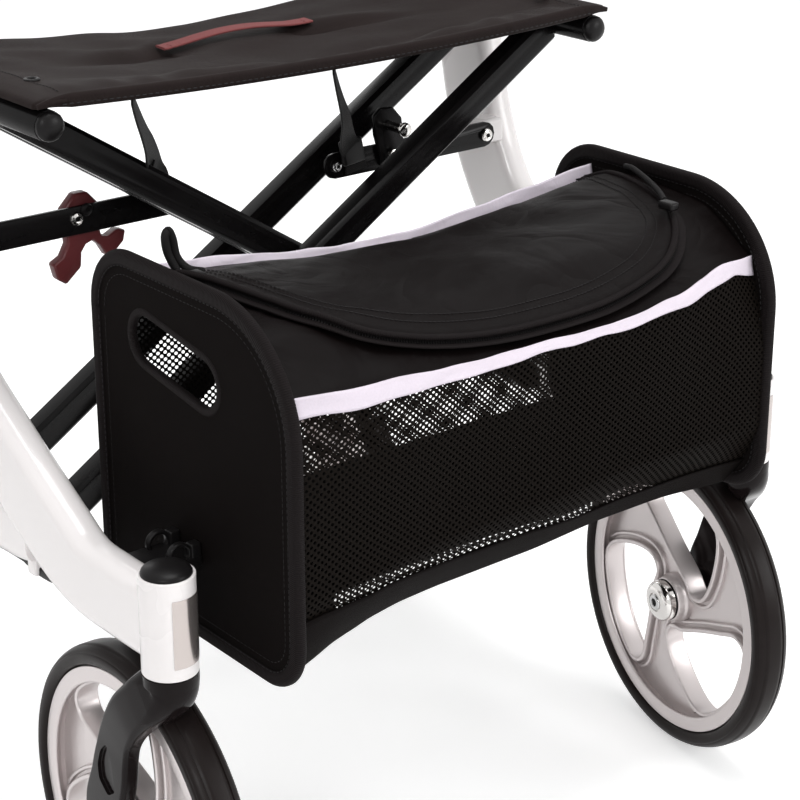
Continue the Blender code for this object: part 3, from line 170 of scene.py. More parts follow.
FORK_CIRCLE = [radians(90 * index + 90 * step / 11) for index in range(4) for step in range(12)]

# Seat and straps
TUBE_SPACING = 0.2425
SEAT_HALF = 0.2542
SEAT_FRONT = -0.1345
SEAT_REAR = 0.1000
SEAT_EDGE_Z = 0.6028
SEAT_THICKNESS = 0.010
SEAT_DEPTH = 0.008
SEAT_HEM = (0.0050, 0.0032, 0.0030)
SEAT_STITCH_INSET = 0.0225
SEAT_STITCH_START = 0.012
SEAT_STITCH_RUN = 0.21
RIVET_INSET = (0.026, 0.052)
RIVET_PROFILE = ((0.0026, 0.0), (0.0058, 0.0), (0.0056, 0.0012), (0.0040, 0.0018), (0.0026, 0.0010))
STRAP_ENDS = (-0.070, 0.062)
STRAP_Y = 0.0050
PULL_STRAP_X = (-0.066, 0.074)
PULL_STRAP_Y = (0.0140, 0.0180)
PULL_STRAP_RISE = 0.0052
PULL_STRAP_HALF = 0.0062
BACK_STRAP_Y = 0.1090
BACK_STRAP_LINE = ((0.0, 0.0), (0.004, 0.022), (0.050, 0.068), (0.150, 0.096))
BACK_STRAP_REACH = 0.100
BACK_STRAP_LEVEL = -0.036
BACK_STRAP_HALF = (0.0245, 0.0046)

# The webbings: (side, x at the seat, x, y and z at the foot, angles of the strap from top to foot)
WEBBINGS = (
    ("right", -0.1800, (-0.1010, -0.0346, 0.5110), (52, 50, 40, 30, 24)),
    ("left", -0.0130, (0.0930, -0.0136, 0.4924), (50, 46, 34, 14, 0)),
)
WEBBING_SHARES = ((0, 0, 0), (0.15, 0.15, 0.16), (0.50, 0.50, 0.51), (0.86, 0.90, 0.85))
WEBBING_TOP_HALF = 0.0045
WEBBING_HALF = 0.0110
BUCKLE_SIZE = (0.026, 0.0050, 0.020)
BUCKLE_TILT = radians(14)
WEBBING_TAIL = ((0.001, -0.002, 0.0), (-0.006, -0.006, -0.012), (-0.003, -0.008, -0.024))

# Bolts: the outlines of a head and of its socket, a painted shade plug, are in shares of the head's radius
BOLT_HEAD = ((0.0, 0.0), (1.0, 0.0), (1.0, 0.18), (0.86, 0.42), (0.52, 0.55), (0.42, 0.50), (0.0, 0.50))
BOLT_SOCKET = ((0.0, 0.53), (0.36, 0.53), (0.36, 0.30), (0.0, 0.30))
LINK_OUTER_X = 0.2330
LINK_INNER_X = 0.0758
LINK_HEAD_Y = -0.0142
LINK_BACK_Y = -0.0078
CLIP_BOLTS = ((-0.1604, -0.0124, 0.4870), (-0.1516, -0.0124, 0.4925))
CATCH_BOLT = (0.1290, -0.0196, 0.4872)

# Bag
BAG_HALF = 0.2150
BAG_FRONT = -0.3535
BAG_REAR = -0.1215
BAG_BOTTOM = 0.2595
BAG_TOP = 0.5110
BAG_CORNERS = (0.030, 0.035, 0.085, 0.045)
PANEL_THICKNESS = 0.0058
BINDING_WIDTH = 0.0110
BAG_CLOTH_HALF = 0.2105
HOOK_PLACE = (-0.2300, 0.3190)
HOOK_STEP = 0.0125
HOOK_RING = 0.0075
HOOK_RING_X = 0.2305
RAIL_ENDS = (0.2145, 0.2550)
RAIL_SIZE = (0.034, 0.0085)
FINGER_X = 0.2190
FINGER_SIZE = (0.008, 0.008, 0.018)
GRIP_SLOT = (-0.2200, 0.4505)
GRIP_SLOT_SIZE = (0.100, 0.034)
GRIP_SLOT_TILT = radians(9)

# The top of the bag from its front trim to its rear trim: (y, z at the panels, sag in the middle)
BAG_TOP_LINE = (
    (-0.3515, 0.4630, 0.0095), (-0.3440, 0.4715, 0.0110), (-0.3300, 0.4810, 0.0125),
    (-0.3050, 0.4895, 0.0145), (-0.2700, 0.4950, 0.0165), (-0.2200, 0.4985, 0.0185),
    (-0.1650, 0.4975, 0.0195),
)
ZIP_LINE = (
    (-0.2020, -0.1700), (-0.1960, -0.1872), (-0.1800, -0.2330), (-0.1650, -0.2800), (-0.1410, -0.3090),
    (-0.0985, -0.3262), (-0.0526, -0.3345), (-0.0078, -0.3378), (0.0449, -0.3368), (0.0960, -0.3320),
    (0.1327, -0.3225), (0.1590, -0.3040), (0.1765, -0.2780), (0.1890, -0.2400), (0.1960, -0.1700),
)

# The trims and the lower front edge of the bag, as (x, y or z)
FRONT_TRIM_Y = (
    (-0.21, -0.3430), (-0.17, -0.3490), (0.0, -0.3515), (0.12, -0.3500), (0.164, -0.3445), (0.21, -0.3350),
)
FRONT_TRIM_LOW = (
    (-0.21, 0.4470), (-0.1445, 0.4453), (-0.05, 0.4455), (0.0, 0.4472), (0.055, 0.4451), (0.1235, 0.4490),
    (0.150, 0.4535), (0.180, 0.4575), (0.21, 0.4500),
)
FRONT_TRIM_HIGH = (
    (-0.21, 0.4610), (-0.1445, 0.4575), (-0.05, 0.4534), (0.0, 0.4530), (0.055, 0.4518), (0.116, 0.4570),
    (0.145, 0.4630), (0.170, 0.4675), (0.21, 0.4650),
)
REAR_TRIM_HIGH = (
    (-0.21, 0.4985), (-0.157, 0.4948), (-0.068, 0.4834), (-0.037, 0.4800), (0.024, 0.4781), (0.095, 0.4850),
    (0.144, 0.4908), (0.21, 0.4975),
)
REAR_TRIM_WIDE = ((-0.21, 0.0066), (-0.06, 0.0056), (0.03, 0.0080), (0.13, 0.0104), (0.21, 0.0115))
FRONT_FOOT_Z = (
    (-0.21, 0.2690), (-0.187, 0.2712), (-0.159, 0.2732), (-0.127, 0.2775), (-0.064, 0.2802), (0.014, 0.2806),
    (0.087, 0.2842), (0.13, 0.2840), (0.21, 0.2818),
)
FRONT_FOOT_Y = ((-0.21, -0.3320), (-0.15, -0.3160), (-0.10, -0.3100), (0.15, -0.3100), (0.21, -0.3160))
BAND_HEIGHT = ((-0.21, 0.0400), (-0.15, 0.0370), (-0.02, 0.0310), (0.06, 0.0240), (0.21, 0.0240))
BOARD_Z = 0.2885
BOARD_FRONT_Y = (
    (-0.21, -0.3300), (-0.156, -0.3160), (-0.142, -0.2890), (-0.02, -0.2870), (0.06, -0.2920),
    (0.145, -0.2880), (0.160, -0.3110), (0.21, -0.3150),
)
LEFT_PANEL_LIFT = 0.0210
LID_CENTRE = (0.0, -0.190)
LID_RINGS = 30
LID_EDGE_INSETS = (0.0030, 0.0)
LID_EDGE_RISES = (0.0022, 0.0030, 0.0062)
NEAR_PULL = (
    (-0.1905, -0.1925, 0.4985), (-0.1955, -0.1890, 0.5120), (-0.1965, -0.1880, 0.5230),
    (-0.1930, -0.1870, 0.5265), (-0.1900, -0.1870, 0.5200), (-0.1880, -0.1880, 0.5080),
    (-0.1830, -0.1930, 0.5000), (-0.1760, -0.2010, 0.4985),
)
FAR_PULL = (
    (0.1985, -0.2120, 0.5070), (0.1960, -0.2220, 0.5078), (0.1900, -0.2400, 0.5062),
    (0.1800, -0.2640, 0.5035), (0.1710, -0.2800, 0.5010),
)

# The zip's pulls: (cord, its radius, the slider's place, size and rounding)
PULLS = (
    (NEAR_PULL, 0.0028, (-0.1840, -0.2060, 0.4990), (0.008, 0.013, 0.005), 0.0016),
    (FAR_PULL, 0.0022, (0.1660, -0.2890, 0.5000), (0.009, 0.014, 0.006), 0.0018),
)


# Node materials


def put(tree, kind, inputs=None, **settings):
    """Adds a shader node. Its inputs are values or other nodes' sockets."""
    made = tree.nodes.new(f"ShaderNode{kind}")
    for key, value in settings.items():
        setattr(made, key, value)
    for key, value in (inputs or {}).items():
        if isinstance(value, bpy.types.NodeSocket):
            tree.links.new(value, made.inputs[key])
        else:
            made.inputs[key].default_value = value
    return made


def number(tree, operation, *values):
    """The output of a Math node with its values or sockets in order."""
    return put(tree, "Math", dict(enumerate(values)), operation=operation).outputs[0]


def spread(tree, value, low, high, to_low, to_high):
    """Maps a socket's value from one range to another."""
    return put(tree, "MapRange", {
        "Value": value, "From Min": low, "From Max": high, "To Min": to_low, "To Max": to_high,
    }).outputs["Result"]


def cloudy(tree, place, scale, detail, roughness=0.5, distortion=0.0):
    """The level of a noise texture, from 0 to 1."""
    return put(tree, "TexNoise", {
        "Vector": place, "Scale": scale, "Detail": detail, "Roughness": roughness, "Distortion": distortion,
    }).outputs["Fac"]


def bumped(tree, height, strength, distance, **normal):
    """The normal of a surface with a relief."""
    inputs = {"Height": height, "Strength": strength, "Distance": distance, **normal}
    return put(tree, "Bump", inputs).outputs["Normal"]


def start_look(name, colour, roughness, **fixed):
    """A material with its shader's fixed values, and its tree and shader."""
    made = bpy.data.materials.new(name)
    made.use_nodes = True
    shader = made.node_tree.nodes["Principled BSDF"]
    shader.inputs["Base Color"].default_value = (*colour, 1)
    shader.inputs["Roughness"].default_value = roughness
    for key, value in fixed.items():
        shader.inputs[key.replace("_", " ")].default_value = value
    made.diffuse_color = (*colour, 1)
    return made, made.node_tree, shader


def tinted(tree, colour, factor, low, high):
    """The colour, darker and lighter where the factor is low and high."""
    dark = tuple(min(part * low, 1.0) for part in colour) + (1,)
    light = tuple(min(part * high, 1.0) for part in colour) + (1,)
    return put(tree, "MixRGB", {"Fac": factor, "Color1": dark, "Color2": light}).outputs["Color"]


def hard_look(name, colour, roughness, patch=9.0, shade=0.06, rough_shade=0.06, grain=900.0, bump=0.02,
              grain_depth=0.0001, dust=None, **fixed):
    """Paint, plastic or metal, with uneven gloss, a fine grain and light dust in places."""
    made, tree, shader = start_look(name, colour, roughness, **fixed)
    place = put(tree, "TexCoord").outputs["Object"]
    broad = cloudy(tree, place, patch, 4.0, 0.6)
    fine = cloudy(tree, place, grain, 2.0)
    base = tinted(tree, colour, broad, 1 - shade, 1 + shade)
    if dust is not None:
        amount, dust_colour = dust
        share = spread(tree, cloudy(tree, place, 55.0, 6.0, 0.7), 0.45, 0.75, 0.0, amount)
        base = put(tree, "MixRGB", {"Fac": share, "Color1": base, "Color2": (*dust_colour, 1)})
        base = base.outputs["Color"]
    tree.links.new(base, shader.inputs["Base Color"])
    rough = spread(tree, broad, 0.3, 0.7, roughness - rough_shade, roughness + rough_shade)
    tree.links.new(rough, shader.inputs["Roughness"])
    tree.links.new(bumped(tree, fine, bump, grain_depth), shader.inputs["Normal"])
    return made


def cloth_places(tree):
    """The two distances along a cloth, in metres, that its mesh carries."""
    made = put(tree, "Attribute", attribute_name="cloth")
    parts = put(tree, "SeparateXYZ", {"Vector": made.outputs["Vector"]})
    return parts.outputs["X"], parts.outputs["Y"], made.outputs["Vector"]


def waves(tree, along, pitch):
    """A wave from -1 to 1 with the given pitch."""
    return number(tree, "SINE", number(tree, "MULTIPLY", along, 2 * pi / pitch))


def woven_look(name, colour, roughness, pitch, depth=0.00012, shade=0.22, ribbed=False, crease=0.0,
               crease_scale=18.0, **fixed):
    """A woven or ribbed cloth with uneven threads. A crease depth adds soft crumples."""
    made, tree, shader = start_look(name, colour, roughness, **fixed)
    across, along, place = cloth_places(tree)
    weft = waves(tree, along, pitch)
    height = weft if ribbed else number(tree, "MULTIPLY", waves(tree, across, pitch), weft)
    broad = cloudy(tree, place, 14.0, 5.0, 0.6)
    threads = cloudy(tree, place, 700.0, 2.0)
    light = number(tree, "ADD", number(tree, "MULTIPLY", height, 0.25), broad)
    light = number(tree, "ADD", light, number(tree, "SUBTRACT", threads, 0.5))
    base = tinted(tree, colour, spread(tree, light, 0.1, 0.9, 0.0, 1.0), 1 - shade, 1 + shade)
    tree.links.new(base, shader.inputs["Base Color"])
    normal = bumped(tree, number(tree, "ADD", height, threads), 0.6, depth)
    if crease:
        folds = cloudy(tree, place, crease_scale, 3.0, 0.45, 1.2)
        ridges = number(tree, "ABSOLUTE", number(tree, "SUBTRACT", folds, 0.5))
        normal = bumped(tree, ridges, 0.8, crease, Normal=normal)
    tree.links.new(normal, shader.inputs["Normal"])
    return made


def mesh_look(name, colour, pitch, hole):
    """A knitted mesh with round holes in offset rows."""
    made, tree, shader = start_look(name, colour, 0.55, Specular_IOR_Level=0.02)
    across, along, place = cloth_places(tree)
    squares = []
    for way in ("ADD", "SUBTRACT"):
        cells = number(tree, "MULTIPLY", number(tree, way, across, along), 1 / pitch)
        off = number(tree, "SUBTRACT", number(tree, "FRACT", cells), 0.5)
        squares.append(number(tree, "MULTIPLY", off, off))
    reach = number(tree, "SQRT", number(tree, "ADD", *squares))
    wobble = cloudy(tree, place, 350.0, 1.0)
    edge = number(tree, "ADD", number(tree, "MULTIPLY", wobble, 0.08), 1.414 * hole / pitch - 0.04)
    solid = number(tree, "GREATER_THAN", reach, edge)
    tree.links.new(solid, shader.inputs["Alpha"])
    tree.links.new(tinted(tree, colour, wobble, 0.7, 1.4), shader.inputs["Base Color"])
    tree.links.new(bumped(tree, reach, 0.8, 0.0006), shader.inputs["Normal"])
    return made


WHITE = hard_look("white_enamel", (0.870, 0.835, 0.830), 0.25, patch=5, shade=0.012, rough_shade=0.04,
                  grain=260, bump=0.05, Coat_Weight=0.35, Coat_Roughness=0.08)
BLACK = hard_look("black_gloss_paint", (0.0050, 0.0044, 0.0046), 0.24, grain=420, bump=0.08,
                  dust=(0.08, (0.030, 0.026, 0.026)), Specular_IOR_Level=0.14)
PLASTIC = hard_look("black_moulded_plastic", (0.0075, 0.0068, 0.0070), 0.34, grain=1500, bump=0.25,
                    grain_depth=0.0002, dust=(0.10, (0.032, 0.029, 0.029)), Specular_IOR_Level=0.14)
FORK = hard_look("black_gloss_plastic", (0.0080, 0.0056, 0.0058), 0.13, grain=300, bump=0.05,
                 rough_shade=0.03, dust=(0.06, (0.030, 0.025, 0.025)), Specular_IOR_Level=0.09)
RED = hard_look("maroon_plastic", (0.115, 0.022, 0.024), 0.36, grain=1200, bump=0.15, shade=0.15,
                dust=(0.15, (0.02, 0.008, 0.008)), Specular_IOR_Level=0.25)
CHROME = hard_look("chromed_steel", (0.70, 0.68, 0.66), 0.15, grain=600, bump=0.02, rough_shade=0.05,
                   Metallic=1.0)
STEEL = hard_look("zinc_plated_steel", (0.56, 0.56, 0.56), 0.28, grain=500, bump=0.08, rough_shade=0.08,
                  Metallic=1.0)
SILVER = hard_look("silver_lacquer", (0.620, 0.570, 0.565), 0.34, patch=12, shade=0.03, grain=2200, bump=0.08,
                   rough_shade=0.04, Metallic=0.60, Coat_Weight=0.15, Coat_Roughness=0.15)
RUBBER = hard_look("tyre_rubber", (0.0110, 0.0078, 0.0074), 0.38, patch=18, shade=0.20, rough_shade=0.08,
                   grain=1300, bump=0.30, grain_depth=0.0002, dust=(0.14, (0.034, 0.028, 0.027)),
                   Specular_IOR_Level=0.11)
GRIP = hard_look("grip_rubber", (0.0120, 0.0110, 0.0110), 0.66, grain=1600, bump=0.5, grain_depth=0.0003,
                 dust=(0.15, (0.035, 0.032, 0.032)), Specular_IOR_Level=0.18)
# Near-black for the bottoms of bolt and axle sockets and the gap under the axle caps' rims: painted shade,
# not a dark part of the real thing
PAINTED_SHADE = hard_look("painted_shade_recess", (0.003, 0.0028, 0.0028), 0.45, Specular_IOR_Level=0.10)
REFLECTOR = hard_look("grey_reflective_film", (0.50, 0.45, 0.43), 0.20, patch=30, shade=0.05, grain=2600,
                      bump=0.15, rough_shade=0.03, Metallic=0.85)
SEAT_CLOTH = woven_look("seat_canvas", (0.0170, 0.0122, 0.0116), 0.60, pitch=0.0009, depth=0.00014,
                        crease=0.0022, Specular_IOR_Level=0.05)
PANEL_CLOTH = woven_look("bag_panel_cloth", (0.0052, 0.0040, 0.0038), 0.74, pitch=0.0008, shade=0.14,
                         Specular_IOR_Level=0.03)
BINDING = woven_look("ribbed_binding", (0.0080, 0.0060, 0.0062), 0.66, pitch=0.0014, depth=0.00025,
                     ribbed=True, Specular_IOR_Level=0.08)
NYLON = woven_look("bag_nylon", (0.0042, 0.0028, 0.0028), 0.40, pitch=0.0006, depth=0.00006, shade=0.12,
                   crease=0.0100, crease_scale=11.0, Specular_IOR_Level=0.06)
WEB_TAPE = woven_look("black_webbing", (0.0075, 0.0066, 0.0068), 0.60, pitch=0.0016, depth=0.0003,
                      Specular_IOR_Level=0.14)
RED_TAPE = woven_look("maroon_webbing", (0.200, 0.056, 0.056), 0.62, pitch=0.0014, depth=0.0003,
                      Sheen_Weight=0.03, Specular_IOR_Level=0.12)
TRIM = woven_look("pale_reflective_trim", (0.74, 0.67, 0.75), 0.52, pitch=0.0010, depth=0.0001, shade=0.05,
                  crease=0.0016, crease_scale=40.0, Specular_IOR_Level=0.3)
THREAD = woven_look("black_thread", (0.011, 0.0095, 0.0100), 0.55, pitch=0.0012, Specular_IOR_Level=0.2)
MESH = mesh_look("bag_mesh", (0.0062, 0.0048, 0.0040), 0.0056, 0.00118)
OPEN_MESH = mesh_look("bag_rear_mesh", (0.0066, 0.0052, 0.0044), 0.0058, 0.00138)


# Mesh helpers


def add_object(name, data):
    made = bpy.data.objects.new(name, data)
    bpy.context.scene.collection.objects.link(made)
    return made


def applied(made):
    """The mesh that an object shows, with its modifiers or its bevel worked in."""
    bpy.context.view_layer.update()
    return bpy.data.meshes.new_from_object(made.evaluated_get(bpy.context.evaluated_depsgraph_get()))


def face_outward(mesh, weld=None):
    """Turns a mesh's faces outward, once points closer than weld are joined."""
    shape = bmesh.new()
    shape.from_mesh(mesh)
    if weld:
        bmesh.ops.remove_doubles(shape, verts=shape.verts, dist=weld)
    bmesh.ops.recalc_face_normals(shape, faces=shape.faces)
    shape.to_mesh(mesh)
    shape.free()


def lay_cloth(mesh, places):
    """Gives each vertex its place on the flat cloth, in metres."""
    layer = mesh.attributes.new("cloth", "FLOAT_VECTOR", "POINT")
    for entry, place in zip(layer.data, places):
        entry.vector = (*place, 0.0)[:3]


def finish_mesh(name, mesh, look, sharp):
    mesh.materials.append(look)
    mesh.shade_smooth()
    mesh.set_sharp_from_angle(angle=radians(sharp))
    return add_object(name, mesh)


def piece(name, verts, faces, look, cloth, sharp=40.0):
    """A mesh object. cloth lists each vertex's place on the flat cloth."""
    mesh = bpy.data.meshes.new(name)
    mesh.from_pydata([tuple(v) for v in verts], [], faces)
    face_outward(mesh)
    lay_cloth(mesh, cloth)
    return finish_mesh(name, mesh, look, sharp)


def settle(made, body, *nodes):
    """A piece rides on its body and stands for its CAD nodes."""
    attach(made, body)
    if nodes:
        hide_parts(*nodes)
    return made


def merge(name, items):
    """Joins several mesh objects into one, with all their materials and sharp edges."""
    bpy.context.view_layer.update()
    looks, verts, faces, cloth, marks, sharp = [], [], [], [], [], []
    for item in items:
        start = len(verts)
        mesh = item.data
        verts += [item.matrix_world @ v.co for v in mesh.vertices]
        faces += [tuple(start + index for index in face.vertices) for face in mesh.polygons]
        layer = mesh.attributes.get("cloth")
        cloth += [tuple(e.vector) for e in layer.data] if layer else [(0, 0, 0)] * len(mesh.vertices)
        looks += [look for look in mesh.materials if look not in looks]
        marks += [looks.index(mesh.materials[face.material_index]) for face in mesh.polygons]
        sharp += [(start + e.vertices[0], start + e.vertices[1]) for e in mesh.edges if e.use_edge_sharp]
    joined = bpy.data.meshes.new(name)
    joined.from_pydata([tuple(v) for v in verts], [], faces)
    lay_cloth(joined, cloth)
    for look in looks:
        joined.materials.append(look)
    for face, mark in zip(joined.polygons, marks):
        face.material_index = mark
    joined.shade_smooth()
    edges = {tuple(sorted(e.vertices)): e for e in joined.edges}
    for pair in sharp:
        edge = edges.get(tuple(sorted(pair)))
        if edge:
            edge.use_edge_sharp = True
    for item in items:
        bpy.data.objects.remove(item)
    return add_object(name, joined)


def assemble(kind, label, body, items, place=Matrix.Identity(4)):
    """One side's piece, made of the items and moved to its place. It stands for the CAD node of its kind."""
    name = f"{kind}_{label}_fine"
    made = merge(name, items) if len(items) > 1 else items[0]
    made.name = name
    return settle(moved(made, place), f"{body}_{label}", f"{kind}_{label}")


def moved(made, matrix):
    """Moves a piece's own points, so that its object stays at the origin."""
    made.data.transform(matrix)
    if matrix.is_negative:
        made.data.flip_normals()
    return made


def smooth_line(points, steps=6, closed=False):
    """Points on a smooth curve through the given ones, of any dimension."""
    points = [Vector(point) for point in points]
    if closed:
        ends = [points[-1]] + points + points[:2]
    else:
        ends = [2 * points[0] - points[1]] + points + [2 * points[-1] - points[-2]]
    line = []
    for a, b, c, d in zip(ends, ends[1:], ends[2:], ends[3:]):
        for step in range(steps):
            t = step / steps
            line.append(
                0.5 * (2 * b + (c - a) * t + (2 * a - 5 * b + 4 * c - d) * t ** 2
                       + (3 * b - a - 3 * c + d) * t ** 3)
            )
    if not closed:
        line.append(points[-1])
    return line


def rounded(points, radius, steps=4, closed=True):
    """A flat outline with each of its corners rounded."""
    points = [Vector(point) for point in points]
    count = len(points)
    line = []
    for index, corner in enumerate(points):
        if not closed and index in (0, count - 1):
            line.append(corner)
            continue
        before = points[index - 1] - corner
        after = points[(index + 1) % count] - corner
        reach = min(radius, before.length * 0.45, after.length * 0.45)
        first = corner + before.normalized() * reach
        last = corner + after.normalized() * reach
        for step in range(steps + 1):
            t = step / steps
            line.append(first * (1 - t) ** 2 + corner * 2 * t * (1 - t) + last * t ** 2)
    return line


def section(half_a, half_b, radius, steps=4):
    """The outline of a rounded rectangle for a sweep."""
    corners = [(half_a, half_b), (-half_a, half_b), (-half_a, -half_b), (half_a, -half_b)]
    line = []
    for index, (a, b) in enumerate(corners):
        middle = (a - copysign(radius, a), b - copysign(radius, b))
        for step in range(steps + 1):
            angle = radians(90 * index + 90 * step / steps)
            line.append((middle[0] + radius * cos(angle), middle[1] + radius * sin(angle)))
    return line


def sweep(name, points, outline, look, normal=(1, 0, 0), closed=False, sharp=40.0):
    """Sweeps an outline along points. Its first axis runs along normal, and outline may be a function
    of the point's number. normal may be a list with one direction for each point."""
    points = [Vector(point) for point in points]
    count = len(points)
    verts, cloth = [], []
    run = 0.0
    size = 0
    for index, point in enumerate(points):
        before = points[index - 1] if closed or index else point
        after = points[(index + 1) % count] if closed or index < count - 1 else point
        ahead = (after - before).normalized()
        up = Vector(normal[index] if isinstance(normal, list) else normal)
        side = ahead.cross(up).normalized()
        up = side.cross(ahead).normalized()
        if index:
            run += (point - points[index - 1]).length
        shape = outline(index) if callable(outline) else outline
        size = len(shape)
        around = 0.0
        for which, (a, b) in enumerate(shape):
            if which:
                around += hypot(a - shape[which - 1][0], b - shape[which - 1][1])
            verts.append(point + up * a + side * b)
            cloth.append((around, run))
    faces = []
    for index in range(count if closed else count - 1):
        first, second = index * size, (index + 1) % count * size
        for which in range(size):
            after = (which + 1) % size
            faces.append((first + which, first + after, second + after, second + which))
    if not closed:
        faces.append(tuple(range(size))[::-1])
        faces.append(tuple(range((count - 1) * size, count * size)))
    return piece(name, verts, faces, look, cloth, sharp)


def lathe(name, profile, start, direction, look, steps=64, sharp=35.0):
    """A solid turned about the line from start along direction. The profile lists (radius, distance)."""
    turn = Vector(direction).to_track_quat("Z", "Y").to_matrix()
    start = Vector(start)
    verts, rings, cloth = [], [], []
    run = 0.0
    for index, (radius, along) in enumerate(profile):
        if index:
            run += hypot(radius - profile[index - 1][0], along - profile[index - 1][1])
        if radius < 1e-6:
            rings.append([len(verts)])
            verts.append(start + turn @ Vector((0, 0, along)))
            cloth.append((0, run))
            continue
        rings.append([])
        for step in range(steps):
            angle = 2 * pi * step / steps
            rings[-1].append(len(verts))
            verts.append(start + turn @ Vector((radius * cos(angle), radius * sin(angle), along)))
            cloth.append((radius * angle, run))
    faces = []
    closed = len(rings[0]) > 1 and len(rings[-1]) > 1
    for low, high in list(zip(rings, rings[1:])) + ([(rings[-1], rings[0])] if closed else []):
        for step in range(steps):
            after = (step + 1) % steps
            if len(low) == 1:
                faces.append((low[0], high[after], high[step]))
            elif len(high) == 1:
                faces.append((low[step], low[after], high[0]))
            else:
                faces.append((low[step], low[after], high[after], high[step]))
    return piece(name, verts, faces, look, cloth, sharp)


def plate(name, outlines, thickness, rounding, look, place=Matrix.Identity(4)):
    """A flat plate with rounded edges. The first outline is its edge and the others are its holes."""
    curve = bpy.data.curves.new(name, "CURVE")
    curve.dimensions = "2D"
    curve.fill_mode = "BOTH"
    curve.extrude = thickness / 2 - rounding
    curve.bevel_depth = rounding
    curve.bevel_resolution = 3
    curve.offset = -rounding
    for outline in outlines:
        line = curve.splines.new("POLY")
        line.points.add(len(outline) - 1)
        for point, at in zip(line.points, outline):
            point.co = (at[0], at[1], 0, 1)
        line.use_cyclic_u = True
    made = add_object(name, curve)
    mesh = applied(made)
    bpy.data.objects.remove(made)
    mesh.transform(place)
    face_outward(mesh, 0.00001)
    back = place.inverted()
    lay_cloth(mesh, [back @ vertex.co for vertex in mesh.vertices])
    mesh.materials.clear()
    return finish_mesh(name, mesh, look, 40)


def side_place(x):
    """The place of a plate drawn in the side view: its points are (y, z)."""
    return Matrix(((0, 0, 1, x), (1, 0, 0, 0), (0, 1, 0, 0), (0, 0, 0, 1)))


def block(name, centre, size, rounding, look):
    """A box with rounded edges."""
    shape = bmesh.new()
    bmesh.ops.create_cube(shape, size=1)
    bmesh.ops.scale(shape, vec=size, verts=shape.verts)
    bmesh.ops.bevel(shape, geom=shape.edges[:] + shape.verts[:], offset=rounding, segments=4, profile=0.5,
                    affect="EDGES")
    mesh = bpy.data.meshes.new(name)
    shape.to_mesh(mesh)
    shape.free()
    mesh.transform(Matrix.Translation(centre))
    return finish_mesh(name, mesh, look, 40)


def arc(centre, radius, first, last, steps):
    angles = [radians(first + (last - first) * step / steps) for step in range(steps + 1)]
    return [(centre[0] + radius * cos(a), centre[1] + radius * sin(a)) for a in angles]


def circle(radius, count):
    return arc((0, 0), radius, 0, 360, count)[:-1]


def step_ring(inner, outer, low, high):
    """The profile of a plain ring or disc for a lathe."""
    return [(inner, low), (outer, low), (outer, high), (inner, high)]


def mirrored(line):
    """A profile of (radius, distance) and its mirror image beyond distance 0."""
    return line + [(radius, -along) for radius, along in line[::-1]]


def measured(points):
    """A line's length, and the function that gives the place and the way at a distance along it."""
    points = [Vector(point) for point in points]
    runs = [0.0]
    for a, b in zip(points, points[1:]):
        runs.append(runs[-1] + (b - a).length)

    def at(distance):
        index = min(bisect.bisect_left(runs, distance, 1), len(runs) - 1) - 1
        share = (distance - runs[index]) / max(runs[index + 1] - runs[index], 1e-9)
        return points[index].lerp(points[index + 1], share), points[index + 1] - points[index]

    return runs[-1], at


def evenly(points, count, closed=True):
    """The same line with evenly spaced points."""
    points = list(points)
    length, at = measured(points + points[:1] if closed else points)
    return [at(length * step / count)[0] for step in range(count if closed else count + 1)]


def seam(points, pitch=0.0042, length=0.0028, radius=0.00042, look=THREAD, lift=(0, 0, 1)):
    """A row of stitches along a line."""
    total, at = measured(points)
    verts, faces, cloth = [], [], []
    for stitch in range(int(total / pitch)):
        first = at(stitch * pitch)[0]
        last, way = at(stitch * pitch + length)
        ahead = (last - first).normalized() if (last - first).length > 1e-7 else way.normalized()
        side = ahead.cross(Vector(lift)).normalized()
        up = side.cross(ahead)
        base = len(verts)
        for along, size in ((0.0, 0.35), (0.2, 1.0), (0.8, 1.0), (1.0, 0.35)):
            middle = first.lerp(last, along)
            for a, b in ((1, 0), (0, 1), (-1, 0), (0, -1)):
                verts.append(middle + side * a * radius * size + up * b * radius * size * 0.8)
                cloth.append((a * radius, along * length))
        faces += [(low + a, low + b, low + 4 + b, low + 4 + a)
                  for low in (base, base + 4, base + 8) for a, b in ((0, 1), (1, 2), (2, 3), (3, 0))]
        faces += [(base, base + 3, base + 2, base + 1), (base + 12, base + 13, base + 14, base + 15)]
    return piece("seam", verts, faces, look, cloth, sharp=60)


def grid_faces(columns, rows):
    wide = columns + 1
    return [
        (r * wide + c, r * wide + c + 1, (r + 1) * wide + c + 1, (r + 1) * wide + c)
        for r in range(rows) for c in range(columns)
    ]


def grid_piece(name, columns, rows, at, look, flat, thickness=0.0):
    """A sheet whose points are at(u, v), with u and v from 0 to 1. flat is its width and length."""
    places = [(column / columns, row / rows) for row in range(rows + 1) for column in range(columns + 1)]
    verts = [at(u, v) for u, v in places]
    cloth = [(u * flat[0], v * flat[1]) for u, v in places]
    made = piece(name, verts, grid_faces(columns, rows), look, cloth, sharp=60)
    if thickness:
        step = made.modifiers.new("Solidify", "SOLIDIFY")
        step.thickness = thickness
        step.offset = 0
        mesh = applied(made)
        made.modifiers.clear()
        made.data = mesh
    return made


def narrow_with_seat(item):
    """A soft piece on the seat gets its own copy of its mesh."""
    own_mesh(item)


def dress(node, look, edge):
    """A CAD node whose shape is right gets a finished material and softened edges."""
    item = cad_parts[node]
    for slot in item.material_slots:
        slot.link = "OBJECT"
        slot.material = look
    weld = item.modifiers.new("Weld", "WELD")
    weld.merge_threshold = 0.00001
    if edge:
        bevel = item.modifiers.new("Bevel", "BEVEL")
        bevel.width = edge
        bevel.segments = 3
        bevel.limit_method = "ANGLE"
        bevel.angle_limit = radians(35)
        bevel.harden_normals = True
    for face in item.data.polygons:
        face.use_smooth = True


# Camera, light and floor


